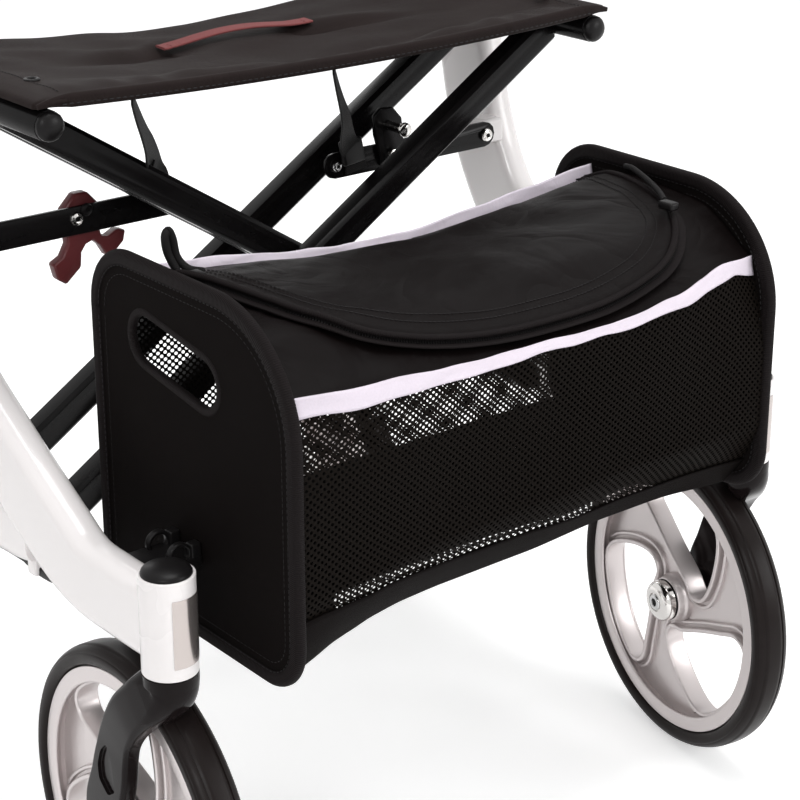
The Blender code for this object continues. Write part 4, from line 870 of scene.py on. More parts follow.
def make_camera():
    lens = bpy.data.cameras.new("camera")
    lens.lens = LENS
    lens.sensor_width = 36
    lens.shift_y = SHIFT_UP
    lens.clip_start = 0.05
    made = add_object("camera", lens)
    made.location = CAMERA_PLACE
    made.rotation_euler = CAMERA_TURN
    bpy.context.scene.camera = made


def seen_directly(tree):
    """1 for rays from the camera, mirrors and glass, and 0 for rays that light the object."""
    path = put(tree, "LightPath")
    total = number(tree, "ADD", path.outputs["Is Camera Ray"], path.outputs["Is Glossy Ray"])
    total = number(tree, "ADD", total, path.outputs["Is Transmission Ray"])
    return number(tree, "MINIMUM", total, 1.0)


def make_world():
    world = bpy.data.worlds.new("studio")
    world.use_nodes = True
    bpy.context.scene.world = world
    tree = world.node_tree
    back = tree.nodes["Background"]
    back.inputs["Color"].default_value = (1, 1, 1, 1)
    level = spread(tree, seen_directly(tree), 0, 1, WORLD_LIGHT, 1.0)
    tree.links.new(level, back.inputs["Strength"])


def make_floor():
    half = FLOOR_SIZE / 2
    corners = [(-half, -half, 0), (half, -half, 0), (half, half, 0), (-half, half, 0)]
    look, tree, shader = start_look("studio_floor", (0.93, 0.93, 0.93), 0.9, Specular_IOR_Level=0.0)
    glow = put(tree, "Emission", {
        "Color": (1, 1, 1, 1), "Strength": number(tree, "MULTIPLY", seen_directly(tree), FLOOR_GLOW),
    })
    total = put(tree, "AddShader")
    tree.links.new(shader.outputs[0], total.inputs[0])
    tree.links.new(glow.outputs[0], total.inputs[1])
    tree.links.new(total.outputs[0], tree.nodes["Material Output"].inputs["Surface"])
    piece("floor", corners, [(0, 1, 2, 3)], look, [(0, 0)] * 4)


def make_lights():
    """A broad overhead light, a key from the front right, a fill from the front left and a light behind."""
    for name, place, size, power, aim in (
            ("overhead", (0.0, -0.5, 2.5), 1.1, 24.0, (0, -0.1, 0.3)),
            ("key", (-2.2, -2.0, 1.9), 0.8, 22.0, (0, -0.1, 0.4)),
            ("fill", (1.6, -2.4, 1.3), 1.2, 24.0, (0, -0.1, 0.4)),
            ("back", (0.8, 2.4, 1.8), 1.0, 10.0, (0, 0, 0.4))):
        lamp = bpy.data.lights.new(name, "AREA")
        lamp.size = size
        lamp.energy = power
        made = add_object(name, lamp)
        made.location = place
        made.rotation_euler = (Vector(aim) - Vector(place)).to_track_quat("-Z", "Y").to_euler()


# Side frames


def upright_point(along):
    """A point on the upright's line, measured from its top."""
    way = Vector((0, sin(UPRIGHT_LEAN), cos(UPRIGHT_LEAN)))
    return Vector((0, *UPRIGHT_BASE)) + (UPRIGHT_LENGTH + along) * way


def from_head(line):
    """A line measured from the head tube and the frame's underside, in the object's own (y, z)."""
    return [(HEAD_Y + back, FRAME_BOTTOM + rise, *rest) for back, rise, *rest in line]


def around_axle(place):
    """A point (y, z) about the rear axle, from its angle and its distance beyond the tyre."""
    angle, beyond = place
    reach = REAR_RADIUS + beyond
    return (REAR_AXLE_Y + reach * cos(radians(angle)),
            REAR_RADIUS + reach * sin(radians(angle)))


def flat_tube(line, half, x):
    """A flat oval tube along a line of (y, z, half its depth)."""
    fine = smooth_line(line, 10)
    points = [(x, p[0], p[1]) for p in fine]
    return sweep("tube", points, lambda i: section(half, fine[i][2], TUBE_ROUNDING, 6), WHITE)


def make_frame(label, side):
    """One side frame: main tube, rear leg with its seal, head tube, reflector and cap."""
    x = side * FRAME_X
    top = upright_point(0)
    line = from_head(MAIN_TUBE_LINE) + [(*UPRIGHT_BASE, UPRIGHT_HALF), (top.y, top.z, UPRIGHT_HALF)]
    lug = block("lug", (side * LINK_LUG[0], LINK_LUG[1], LINK_Z), LINK_LUG_SIZE, 0.003, WHITE)
    assemble("main_tube", label, "frame", [flat_tube(line, TUBE_HALF, x), lug])

    line = from_head(LEG_LINE) + [(*around_axle(place), LEG_LAST_HALF) for place in LEG_LAST]
    lugs = [block("lug", (side * PIVOT_LUG_X, y, PIVOT_LUG_Z), PIVOT_LUG_SIZE, 0.004, WHITE)
            for y in PIVOT_LUG_Y]
    assemble("rear_leg", label, "frame", [flat_tube(line, LEG_HALF, x)] + lugs)
    edge = smooth_line([(x, y, z) for y, z in from_head(LEG_SEAL_LINE)], 6)
    strip = sweep("strip", edge, lambda i: section(SEAL_WIDTH_HALF, SEAL_HALF[min(i // 6, 6)], 0.0012, 3),
                  PLASTIC)
    clamp = block("clamp", (x, *from_head([CLAMP_PLACE])[0]), CLAMP_SIZE, 0.003, WHITE)
    settle(merge(f"leg_seal_{label}", [strip, clamp]), f"frame_{label}")

    height, inner = HEAD_TOP - HEAD_BOTTOM, HEAD_RADIUS - HEAD_WALL
    profile = rounded([
        (HEAD_BORE, 0.0), (HEAD_RADIUS, 0.0), (HEAD_RADIUS, height), (inner, height),
        (inner, height - HEAD_LIP), (HEAD_BORE, height - HEAD_LIP),
    ], 0.0009)
    head = lathe("head", profile, (x, HEAD_Y, HEAD_BOTTOM), (0, 0, 1), WHITE, 80)
    assemble("head_tube", label, "frame", [head])
    make_reflector(label, x)
    dome = [(0.0, -CAP_SKIRT), (CAP_SIDE, -CAP_SKIRT), (CAP_SIDE, CAP_EDGE / 2)]
    dome += [(CAP_SIDE * cos(radians(a)), CAP_EDGE + CAP_DOME * sin(radians(a)))
             for a in range(6, 90, 6)]
    dome.append((0.0, CAP_EDGE + CAP_DOME))
    assemble("head_cap", label, "frame", [lathe("cap", dome, (x, HEAD_Y, HEAD_TOP), (0, 0, 1), PLASTIC)])


def make_reflector(label, x):
    """A grey reflective film on the front of the head tube."""
    radius = HEAD_RADIUS + REFLECTOR_GAP
    first, last = REFLECTOR_TURN[label]
    low, high = (HEAD_BOTTOM + height for height in REFLECTOR_HEIGHTS)

    def film(u, v):
        angle = radians(first + (last - first) * u)
        return x + radius * cos(angle), HEAD_Y + radius * sin(angle), low + (high - low) * v

    size = (radius * radians(last - first), high - low)
    settle(grid_piece(f"head_reflector_{label}", 24, 8, film, REFLECTOR, size), f"frame_{label}")


# Casters


def swivel_place(label, side):
    """The place of a caster drawn with its swivel axis at the origin."""
    return Matrix.Translation((side * FRAME_X, HEAD_Y, 0)) @ Matrix.Rotation(CASTER_TURN[label], 4, "Z")


def make_fork(label, side):
    """The one-sided fork: its collar narrows into an arm beside the wheel, with a recess and a hub."""
    line = [(side * x, (front + rear) / 2, FORK_TOP - drop) for x, front, rear, drop, _ in FORK_LINE]
    points = smooth_line(line, 8)
    sizes = smooth_line([(half, (rear - front) / 2) for _, front, rear, _, half in FORK_LINE], 8)

    def outline(index):
        half, deep = sizes[index]
        if index < FORK_ROUND and abs(half - deep) < 0.004:
            return [(half * cos(a), deep * sin(a)) for a in FORK_CIRCLE]
        share = 0.999 if index < FORK_ROUND else max(0.55, 0.999 - 0.03 * (index - FORK_ROUND))
        return section(half, deep, min(half, deep) * share, 11)

    arm = sweep("arm", points, outline, FORK, sharp=60)
    width = 2 * FORK_ARM_HALF
    hub = lathe("hub", rounded([
        (FORK_BORE, 0.0), (FORK_HUB, 0.0), (FORK_HUB, width), (FORK_HUB_HOLLOW, width),
        (FORK_HUB_HOLLOW - 0.001, width - FORK_HUB_STEP), (FORK_BORE, width - FORK_HUB_STEP),
    ], 0.0018), (side * (FORK_ARM_X - FORK_ARM_HALF), CASTER_TRAIL, FRONT_RADIUS), (side, 0, 0), FORK)
    profile = step_ring(0.0, FORK_STEM_RADIUS, 0.0, FORK_STEM_LENGTH)
    stem = lathe("stem", profile, (0, 0, FORK_TOP - 0.004), (0, 0, 1), STEEL, 24)
    edge = rounded([(a, FORK_TOP - b) for a, b in FORK_RECESS], 0.003, 3)
    face = side * (FORK_ARM_X + FORK_ARM_HALF + 0.0012)
    recess = plate("recess", [edge], 0.008, 0.0006, FORK, side_place(face))
    step = arm.modifiers.new("recess", "BOOLEAN")
    step.object = recess
    step.operation = "DIFFERENCE"
    step.solver = "EXACT"
    cut = applied(arm)
    arm.modifiers.clear()
    arm.data = cut
    cut.set_sharp_from_angle(angle=radians(32))
    bpy.data.objects.remove(recess)
    assemble("caster_fork", label, "caster", [arm, hub, stem], swivel_place(label, side))


# Wheels


def hole_line(inner, at, grow=0.0):
    """The smooth outline of the hole between two spokes."""
    points = []
    for angle, share in WHEEL_HOLE:
        reach = HUB_RADIUS + (inner - HUB_RADIUS) * share
        turn = radians(angle) + at
        points.append(Vector((reach * cos(turn), reach * sin(turn))))
    line = smooth_line(points, closed=True)
    if not grow:
        return line
    out = []
    for index, point in enumerate(line):
        ahead = (line[(index + 1) % len(line)] - line[index - 1]).normalized()
        out.append(point + Vector((-ahead.y, ahead.x)) * grow)
    return out


def make_rim(outer, turn):
    """The parts of a rim about the Z axis: ring, web with three holes, ribs round them, and hub."""
    inner = outer - RIM_DEPTH
    half = RIM_HALF
    ring = mirrored([
        (outer - 0.0008, -half), (inner + 0.0012, -half), (inner - 0.0002, -half + 0.0016),
        (inner + 0.0042, -half * 0.50), (inner + 0.0050, -0.0020),
    ]) + [(outer - 0.0025, 0.0)]
    hub = mirrored([
        (AXLE_RADIUS + 0.0004, -HUB_REACH), (HUB_RADIUS * 0.86, -HUB_REACH), (HUB_RADIUS * 0.93, -0.0095),
        (HUB_RADIUS, -0.0070),
    ])
    turns = [turn + 2 * pi / 3 * index for index in range(3)]
    holes = [hole_line(inner, at) for at in turns]
    parts = [turned(rounded(ring, 0.0012, 3), SILVER, 128),
             plate("web", [circle(inner + 0.0065, 96)] + holes, 2 * WEB_HALF, 0.0010, SILVER)]
    sign = 1 if sum(a.x * b.y - b.x * a.y for a, b in zip(holes[0], holes[0][1:])) < 0 else -1
    for at in turns:
        line = hole_line(inner, at, sign * (RIB_WIDTH / 2 - 0.0005))
        parts.append(sweep("rib", [(p.x, p.y, 0) for p in line], section(RIB_HALF, RIB_WIDTH / 2, 0.0017),
                           SILVER, normal=(0, 0, 1), closed=True))
        line = hole_line(inner, at, sign * 0.0075)
        apart = [p.length > inner - 0.0015 for p in line]
        first = apart.index(True)
        both = zip(line[first:] + line[:first], apart[first:] + apart[:first])
        points = [(p.x, p.y, 0) for p, out in both if not out]
        parts.append(sweep("inner_rib", points, section(INNER_RIB_HALF, 0.0016, 0.0014), SILVER,
                           normal=(0, 0, 1)))
    return parts + [turned(rounded(hub, 0.0014), SILVER)]


def make_tyre(seat, tread):
    """A tyre about the Z axis, from its seat on the rim to its tread with two fine grooves."""
    wide = TYRE_HALF
    outline = mirrored([
        (seat, RIM_HALF + 0.0004), (seat + 0.0016, wide - 0.0004), (seat + 0.0050, wide),
        (tread - 0.0062, wide), (tread - 0.0052, wide - 0.0004), (tread - 0.0048, wide - 0.0011),
        (tread - 0.0042, wide - 0.0012), (tread - 0.0030, wide - 0.0020), (tread - 0.0014, wide - 0.0046),
        (tread - 0.0008, wide - 0.0062), (tread - 0.0014, wide - 0.0066), (tread - 0.0012, wide - 0.0074),
        (tread - 0.0003, wide - 0.0080), (tread, wide - 0.0105),
    ]) + [(seat - 0.003, 0.0)]
    return turned(outline, RUBBER, 144, sharp=50)


def turned(profile, look, steps=64, start=0.0, way=1, sharp=35.0):
    """A part of a wheel, turned about the wheel's own axis."""
    return lathe("turned", profile, (0, 0, start), (0, 0, way), look, steps, sharp)


def make_axle(where, side):
    """The parts of an axle about the Z axis: polished cap with its socket, rod and nut, with painted shade in
    a thin ring under the cap's rim and in a hexagon at the socket's bottom.
    """
    wall, flat, rise = CAP_WALL, CAP_FLAT, CAP_RISE
    dome = [radians(a) for a in range(10, 90, 10)]
    cap = [(0.0, 0.0), (CAP_RADIUS, 0.0), (CAP_RADIUS, wall)]
    cap += [(flat + (CAP_RADIUS - flat) * cos(a), wall + (rise - wall) * sin(a)) for a in dome]
    cap += [(flat, rise), (flat - 0.0006, rise - 0.0012), (0.0, rise - 0.0012)]
    socket = rounded([
        (0.0, rise - 0.0045), (0.0030, rise - 0.0045), (0.0034, rise + 0.0010), (0.0058, rise + 0.0010),
        (0.0068, rise), (0.0068, rise - 0.0018), (0.0, rise - 0.0018),
    ], 0.0005, 2, closed=False)
    face, away = -side * (HUB_REACH + 0.0010), -side
    return [
        turned(cap, CHROME, 64, face, away),
        # a thin near-black ring under the cap's rim: a painted shadow in the gap
        turned(step_ring(CAP_RADIUS - 0.0010, CAP_RADIUS + 0.0003, -0.0010, 0.0004), PAINTED_SHADE, 64, face, away),
        turned(socket, STEEL, 48, face, away),
        # a near-black hexagon at the socket's bottom: painted shade
        turned(step_ring(0.0, 0.0031, rise - 0.0002, rise - 0.005), PAINTED_SHADE, 6, face, away),
        turned(step_ring(0.0, AXLE_RADIUS, 0.0, ROD_LENGTH), STEEL, 32, away * ROD_START, side),
        turned(NUT_PROFILE, STEEL, 48, side * NUT_AT[where], side, sharp=25),
    ]


def make_wheels():
    """Both caster wheels and both rear wheels, with their rims, tyres and axles."""
    for label, side in SIDES:
        ahead = Matrix.Translation((side * (WHEEL_X - FRAME_X), CASTER_TRAIL, FRONT_RADIUS))
        behind = Matrix.Translation((side * WHEEL_X, REAR_AXLE_Y, REAR_RADIUS))
        for where, radius, place, holder in (
                ("front", FRONT_RADIUS, swivel_place(label, side) @ ahead, "caster"),
                ("rear", REAR_RADIUS, behind, "frame")):
            rim, wheel = radius - TYRE_DEPTH, f"{where}_wheel"
            place = place @ Matrix.Rotation(pi / 2, 4, "Y")
            assemble(f"{where}_rim", label, wheel, make_rim(rim, WHEEL_TURN[label]), place)
            assemble(f"{where}_tyre", label, wheel, [make_tyre(rim + 0.0003, radius)], place)
            assemble(f"{where}_axle", label, holder, make_axle(where, side), place)


# Seat


def seat_height(x, y):
    """The height of the seat's upper face: it hangs between its tubes, with a padded front roll."""
    across = min(abs(x) / (TUBE_SPACING - 0.0105), 1.0)
    middle = (SEAT_FRONT + SEAT_REAR) / 2
    along = (y - middle) / ((SEAT_REAR - SEAT_FRONT) / 2)
    sag = (0.007 + 0.011 * (1 - along ** 4)) if along < 0 else (0.018 + 0.005 * along ** 2)
    drop = max(abs(x) - TUBE_SPACING, 0.0) / (SEAT_HALF - TUBE_SPACING)
    roll = 0.0055 * exp(-((y - SEAT_FRONT - 0.020) / 0.014) ** 2)
    channel = -0.0030 * exp(-((y - SEAT_FRONT - 0.052) / 0.012) ** 2)
    hanging = 1 - across ** 2
    return SEAT_EDGE_Z + SEAT_THICKNESS - sag * hanging + (roll + channel) * hanging - 0.002 * drop


def seat_crumple(x, y):
    """Small folds: puckers at the front hem and at the strap's ends, and loose waves elsewhere."""
    hem = exp(-((y - SEAT_FRONT - 0.022) / 0.014) ** 2)
    lift = 0.0010 * hem * sin(x * 150 + 2.0 * sin(x * 37))
    for end_x in STRAP_ENDS:
        near = exp(-(((x - end_x) / 0.028) ** 2 + ((y - STRAP_Y) / 0.020) ** 2))
        lift -= 0.0048 * near
        way = 1 if end_x > 0 else -1
        fold = (y - STRAP_Y) + 0.35 * (x - end_x) * way
        reach = exp(-(((x - end_x) * way - 0.02) / 0.055) ** 2) if (x - end_x) * way > -0.01 else 0.0
        lift -= 0.0048 * reach * exp(-(fold / 0.008) ** 2)
        lift += 0.0030 * reach * exp(-((fold - 0.018) / 0.011) ** 2)
    place = Vector((x * 7, y * 12, 0.3))
    return lift + 0.0046 * noise.noise(place) + 0.0022 * noise.noise(place * 2.6)


def seat_freedom(x):
    """0 where the seat lies on its tube, and 1 where its cloth is free to fold."""
    return min(1.0, max(0.0, (TUBE_SPACING - abs(x)) / 0.02))


def make_seat():
    """The padded seat with its rolled front hem, its stitching and two rivets."""
    columns, rows = 150, 84
    top, bottom, cloth = [], [], []
    for row in range(rows + 1):
        v = row / rows
        for column in range(columns + 1):
            u = column / columns * 2 - 1
            x = u * SEAT_HALF
            y = SEAT_FRONT + v * (SEAT_REAR - SEAT_FRONT)
            corner = max(0.0, abs(u) - 0.93) / 0.07
            y += (0.006 * corner ** 2 if v < 0.1 else 0.0) * (1 - v / 0.1)
            edge = min(1.0, v * rows / 6, (1 - v) * rows / 6, (1 - abs(u)) * columns / 2 / 6)
            round_edge = sqrt(max(0.0, 1 - (1 - edge) ** 2))
            thick = SEAT_DEPTH * (0.45 + 0.55 * round_edge)
            middle = seat_height(x, y) - SEAT_DEPTH * 0.5
            fold = seat_crumple(x, y) * round_edge * seat_freedom(x)
            top.append((x, y, middle + thick / 2 - 0.0006 + fold))
            bottom.append((x, y, middle - thick / 2))
            cloth.append((x, y))
    wide, count = columns + 1, len(top)
    faces = grid_faces(columns, rows)
    faces += [tuple(count + face[corner] for corner in (0, 3, 2, 1)) for face in faces]
    ring = list(range(wide)) + [r * wide + columns for r in range(1, rows + 1)]
    ring += [rows * wide + c for c in range(columns - 1, -1, -1)] + [r * wide for r in range(rows - 1, 0, -1)]
    faces += [(a, count + a, count + b, b) for a, b in zip(ring, ring[1:] + ring[:1])]
    items = [piece("seat", top + bottom, faces, SEAT_CLOTH, cloth * 2, sharp=70)]
    hem = []
    for step in range(-60, 61):
        x = step / 60 * (SEAT_HALF - 0.0015)
        hem.append((x, SEAT_FRONT + 0.0030, seat_height(x, SEAT_FRONT) - SEAT_DEPTH * 0.5 - 0.0004))
    sizes = [min(1.0, 0.35 + min(index, 120 - index) / 9) for index in range(121)]
    items.append(sweep("hem", hem, lambda i: section(*(half * sizes[i] for half in SEAT_HEM), 5), SEAT_CLOTH,
                       normal=(0, 0, 1)))
    items.append(seam([(x, y - 0.0034, z - 0.0018) for x, y, z in hem[4:-4]], 0.0050, 0.0034, 0.0005,
                      lift=(0, -1, 0)))
    for side in (-1, 1):
        x = side * (SEAT_HALF - SEAT_STITCH_INSET)
        line = []
        for step in range(81):
            y = SEAT_FRONT + SEAT_STITCH_START + step / 80 * SEAT_STITCH_RUN
            line.append((x, y, seat_height(x, y) + seat_crumple(x, y) * seat_freedom(x) - 0.0004))
        items.append(seam(line))
    pad = settle(merge("seat_pad_fine", items), "seat", "seat_pad")
    narrow_with_seat(pad)
    for label, side in SIDES:
        x, y = side * (SEAT_HALF - RIVET_INSET[0]), SEAT_FRONT + RIVET_INSET[1]
        place = (x, y, seat_height(x, y) - 0.0002)
        profile = rounded(RIVET_PROFILE, 0.0004, 2)
        rivet = lathe(f"seat_rivet_{label}", profile, place, (0, 0, 1), PLASTIC, 32)
        narrow_with_seat(settle(rivet, "seat"))


def make_pull_strap():
    """A flat strap, sewn down at both ends and arched a little between them."""
    points = []
    for index in range(41):
        t = index / 40
        x, y = (first + (last - first) * t for first, last in (PULL_STRAP_X, PULL_STRAP_Y))
        ground = seat_height(x, y) + seat_crumple(x, y) * 0.3
        points.append((x, y, ground + 0.0012 + PULL_STRAP_RISE * sin(pi * t) ** 1.4))
    items = [sweep("strap", points, section(PULL_STRAP_HALF, 0.0009, 0.0008, 3), RED_TAPE,
                   normal=(0, 1, 0.05))]
    for x, y, z in (points[2], points[38]):
        items.append(seam([(x, y + t * 0.0010 - 0.0050, z + 0.0009) for t in range(11)], look=RED_TAPE))
    strap = settle(merge("pull_strap_fine", items), "seat", "seat_pull_strap")
    narrow_with_seat(strap)


def make_webbings():
    """Two flat straps from the seat's front edge to the cross frame. They leave the seat edge on."""
    for label, top_x, foot, turns in WEBBINGS:
        top_y = SEAT_FRONT + 0.006
        under = min(seat_height(top_x + step, top_y) for step in (-0.012, 0, 0.012)) - SEAT_DEPTH - 0.001
        top, foot = Vector((top_x, top_y, under)), Vector(foot)
        points = [top + Vector(shares) * (foot - top) for shares in WEBBING_SHARES]
        line = smooth_line(points + [foot, foot + Vector((0.003, 0, -0.014))], 8)
        angles = [radians(a.x) for a in smooth_line([(turn, 0) for turn in turns[:1] + turns], 8)]
        spread_out = WEBBING_HALF - WEBBING_TOP_HALF
        halves = [WEBBING_TOP_HALF + spread_out * min(1.0, index / 18) for index in range(len(line))]
        items = [sweep("strap", line, lambda i: section(halves[i], 0.0008, 0.0007, 3), WEB_TAPE,
                       normal=[(cos(a), sin(a), 0) for a in angles])]
        if label == "left":
            turn = Matrix.Rotation(BUCKLE_TILT, 4, "Z") @ Matrix.Rotation(-BUCKLE_TILT, 4, "X")
            buckle = block("buckle", (0, 0, 0), BUCKLE_SIZE, 0.0018, PLASTIC)
            items.append(moved(buckle, Matrix.Translation(line[30]) @ turn))
        else:
            tail = smooth_line([line[22] + Vector(step) for step in WEBBING_TAIL])
            items.append(sweep("tail", tail, section(0.0050, 0.0008, 0.0007, 3), WEB_TAPE,
                               normal=(0.75, 0.65, 0)))
        strap = settle(merge(f"webbing_{label}_fine", items), "seat", f"webbing_{label}")
        narrow_with_seat(strap)
        measured(line)[0]


def bolt_head(name, place, radius, look, body, way=-1):
    """A domed bolt head with a hexagon socket, facing forward or, with way 1, back. The socket is a
    near-black hexagon on the head's top: painted shade.
    """
    parts = []
    # the socket is a near-black hexagon plug, painted shade in place of a hollow
    for line, paint, steps in ((BOLT_HEAD, look, 40), (BOLT_SOCKET, PAINTED_SHADE, 6)):
        profile = [(radius * a, radius * b) for a, b in line]
        parts.append(lathe("bolt", profile, place, (0, way, 0), paint, steps))
    settle(merge(name, parts), body)


def make_bolts():
    """The bolt heads of the fold links, the clip and the catch."""
    for label, side in SIDES:
        inner_y, way = (LINK_BACK_Y, 1) if label == "right" else (LINK_HEAD_Y, -1)
        for name, x, y, radius, look, facing in (
                ("outer", LINK_OUTER_X, LINK_HEAD_Y, 0.0056, CHROME, -1),
                ("inner", LINK_INNER_X, inner_y, 0.0042, STEEL, way)):
            place = (side * x, y, LINK_Z)
            bolt_head(f"link_bolt_{name}_{label}", place, radius, look, f"link_{label}", facing)
    bolt_head("clip_bolt", CLIP_BOLTS[0], 0.0052, CHROME, "link_right")
    bolt_head("clip_spring_bolt", CLIP_BOLTS[1], 0.0048, PLASTIC, "link_right")
    bolt_head("catch_bolt_cap", CATCH_BOLT, 0.0056, CHROME, "link_left")


# Bag


def bag_outline(inset, lift):
    """The outline of a side panel as (y, z), from the upper rear corner round by the front."""
    rear_low, front_low, front_top, rear_top = (max(radius - inset, 0.004) for radius in BAG_CORNERS)
    left, right = BAG_FRONT + inset, BAG_REAR - inset
    bottom, top = BAG_BOTTOM + lift + inset, BAG_TOP - inset
    return (
        arc((right - rear_top, top - rear_top), rear_top, 0, 90, 12)
        + arc((left + front_top, top - front_top), front_top, 90, 180, 24)
        + arc((left + front_low, bottom + front_low), front_low, 180, 270, 12)
        + arc((right - rear_low, bottom + rear_low), rear_low, 270, 360, 12)
    )


def slot_outline(grow):
    """The outline of the grip slot in a side panel as (y, z)."""
    length, height = GRIP_SLOT_SIZE
    half = (length - height) / 2
    radius = height / 2 + grow
    points = arc((half, 0), radius, -90, 90, 12) + arc((-half, 0), radius, 90, 270, 12)
    turn = Matrix.Rotation(GRIP_SLOT_TILT, 2)
    return [Vector(GRIP_SLOT) + turn @ Vector(point) for point in points]


def make_panel(label, side):
    """A stiff padded side of the bag, with a binding round its edge and round its grip slot."""
    x = side * (BAG_HALF - PANEL_THICKNESS / 2 + 0.0002)
    lift = LEFT_PANEL_LIFT if label == "left" else 0.0

    def around(outline, count, level=x):
        return [(level, p.x, p.y) for p in evenly(outline, count)]

    items = [
        plate("board", [bag_outline(0.0015, lift), slot_outline(0.0005)], PANEL_THICKNESS - 0.0016, 0.0012,
              PANEL_CLOTH, side_place(x)),
        sweep("binding", around(bag_outline(BINDING_WIDTH / 2 - 0.0006, lift), 260),
              section(PANEL_THICKNESS / 2 + 0.0012, BINDING_WIDTH / 2, 0.0038, 6), BINDING, closed=True),
        sweep("slot_binding", around(slot_outline(0.0022), 120),
              section(PANEL_THICKNESS / 2 - 0.0001, 0.0030, 0.0020), BINDING, closed=True),
    ]
    for face in (-1, 1):
        for inset, above in ((-0.0012, 0.0002), (0.0050, -0.0009)):
            level = x + face * (PANEL_THICKNESS / 2 + above)
            line = around(bag_outline(BINDING_WIDTH + inset, lift), 300, level)
            items.append(seam(line, lift=(face, 0, 0)))
    assemble("bag_panel", label, "frame", items)
    make_hooks(label, side)


def make_hooks(label, side):
    """The small hooks that hold the bag's side to the frame behind the head tube."""
    middle_y, z = HOOK_PLACE
    inner, outer = RAIL_ENDS
    place = (side * (inner + outer) / 2, middle_y, z)
    items = [block("rail", place, (outer - inner, *RAIL_SIZE), 0.002, PLASTIC)]
    for y in (middle_y - HOOK_STEP, middle_y + HOOK_STEP):
        ring = [(side * (HOOK_RING_X + a), y, z + 0.007 + b) for a, b in circle(HOOK_RING, 24)]
        items.append(sweep("ring", ring, section(0.0026, 0.0014, 0.0013, 3), PLASTIC, normal=(0, 1, 0),
                           closed=True))
        items.append(block("finger", (side * FINGER_X, y, z + 0.004), FINGER_SIZE, 0.0015, PLASTIC))
    settle(merge(f"bag_clip_{label}_fine", items), f"frame_{label}")


def read_line(line, x):
    """The value of a measured line of (x, value) at x, without corners."""
    for (low_x, low), (high_x, high) in zip(line, line[1:]):
        if x <= high_x:
            break
    share = min(max((x - low_x) / (high_x - low_x), 0.0), 1.0)
    return low + (high - low) * (share * 0.4 + 0.6 * share * share * (3 - 2 * share))


def top_height(x, y):
    """The height of the bag's top at a place. It meets the front trim's upper edge."""
    line = BAG_TOP_LINE
    y = min(max(y, line[0][0]), line[-1][0])
    for low, high in zip(line, line[1:]):
        if y <= high[0]:
            break
    share = (y - low[0]) / (high[0] - low[0])
    z = low[1] + share * (high[1] - low[1])
    sag = low[2] + share * (high[2] - low[2])
    z -= sag * max(0.0, 1 - (x / BAG_CLOTH_HALF) ** 2)
    near = min(1.0, max(0.0, 1 - (y - read_line(FRONT_TRIM_Y, x) - 0.003) / 0.050)) ** 1.5
    z += near * (read_line(FRONT_TRIM_HIGH, x) - 0.001 - z)
    near = max(0.0, 1 - (line[-1][0] - y) / 0.050) ** 2
    return z + near * (read_line(REAR_TRIM_HIGH, x) - read_line(REAR_TRIM_WIDE, x) - z)


def across(u):
    """The x of the bag's cloth at a share of its width."""
    return (u * 2 - 1) * BAG_CLOTH_HALF


def front_sheet(u, v):
    """The front of the bag from its foot up to the trim. The cloth bows forward above its foot."""
    x = across(u)
    low_z, high_z = read_line(FRONT_FOOT_Z, x), read_line(FRONT_TRIM_LOW, x) + 0.003
    foot_y, trim_y = read_line(FRONT_FOOT_Y, x), read_line(FRONT_TRIM_Y, x) + 0.0015
    z = low_z + v * (high_z - low_z)
    rise = min((z - low_z) / 0.055, 1.0)
    front = BAG_FRONT + 0.0030
    y = foot_y + (front - foot_y) * (0.5 * rise + 0.5 * sin(pi / 2 * rise))
    y += (trim_y - front) * max(0.0, (z - high_z + 0.060) / 0.060) ** 1.5
    bow = 1 - (u * 2 - 1) ** 2
    place = Vector((x * 12, z * 9, 2.0))
    y += (0.0045 * sin(pi * v) ** 2 + 0.0030 * noise.noise(place)) * bow * rise
    return Vector((x, y, z))


def rear_sheet(u, v):
    """The rear of the bag from its board up to the rear trim."""
    x = across(u)
    bow = 1 - (u * 2 - 1) ** 2
    low_z, high_z = BOARD_Z - 0.002, read_line(REAR_TRIM_HIGH, x) - 0.001
    z = low_z + v * (high_z - low_z)
    y = BAG_REAR - 0.0030 - 0.0050 * bow * sin(pi * v) ** 0.8
    y -= 0.0390 * max(0.0, (z - high_z + 0.055) / 0.055) ** 2
    return Vector((x, y, z))


def band_sheet(u, v):
    """The band along the foot of the bag's front."""
    return front_sheet(u, v * read_line(BAND_HEIGHT, across(u)) / 0.165) + Vector((0, -0.0012, -0.0006))


def low_sheet(u, v):
    """The mesh from the foot of the bag's front back to the board."""
    foot = front_sheet(u, 0.0)
    return foot.lerp(Vector((foot.x, read_line(BOARD_FRONT_Y, foot.x) + 0.004, BOARD_Z - 0.0016)), v)


def board_sheet(u, v):
    """The stiff board in the bag's bottom."""
    x = across(u)
    edge = read_line(BOARD_FRONT_Y, x)
    return Vector((x, edge + v * (BAG_REAR - 0.004 - edge), BOARD_Z))


def top_sheet(u, v):
    """The nylon top of the bag between its two trims."""
    x = across(u)
    trim_y = read_line(FRONT_TRIM_Y, x) + 0.003
    y = trim_y + v * (BAG_TOP_LINE[-1][0] - trim_y)
    edge = min(1.0, u * 12, (1 - u) * 12, v * 8, (1 - v) * 8)
    place = Vector((x * 11, y * 22, 4.0))
    crumple = 0.0030 * edge * (noise.noise(place) + 0.6 * noise.noise(place * 2.7))
    crumple -= 0.0022 * edge * abs(noise.noise(Vector((x * 22 + y * 30, x * 9, 1.0))))
    return Vector((x, y, top_height(x, y) - 0.0008 + crumple))


def front_trim(u, v):
    x = (u * 2 - 1) * (BAG_CLOTH_HALF - 0.002)
    low, high = read_line(FRONT_TRIM_LOW, x), read_line(FRONT_TRIM_HIGH, x)
    crumple = 0.0010 * noise.noise(Vector((x * 34, v * 1.5, 9.0)))
    y = read_line(FRONT_TRIM_Y, x) + v * 0.0035 - 0.0006
    return Vector((x, y + crumple, low + v * (high - low) + crumple))


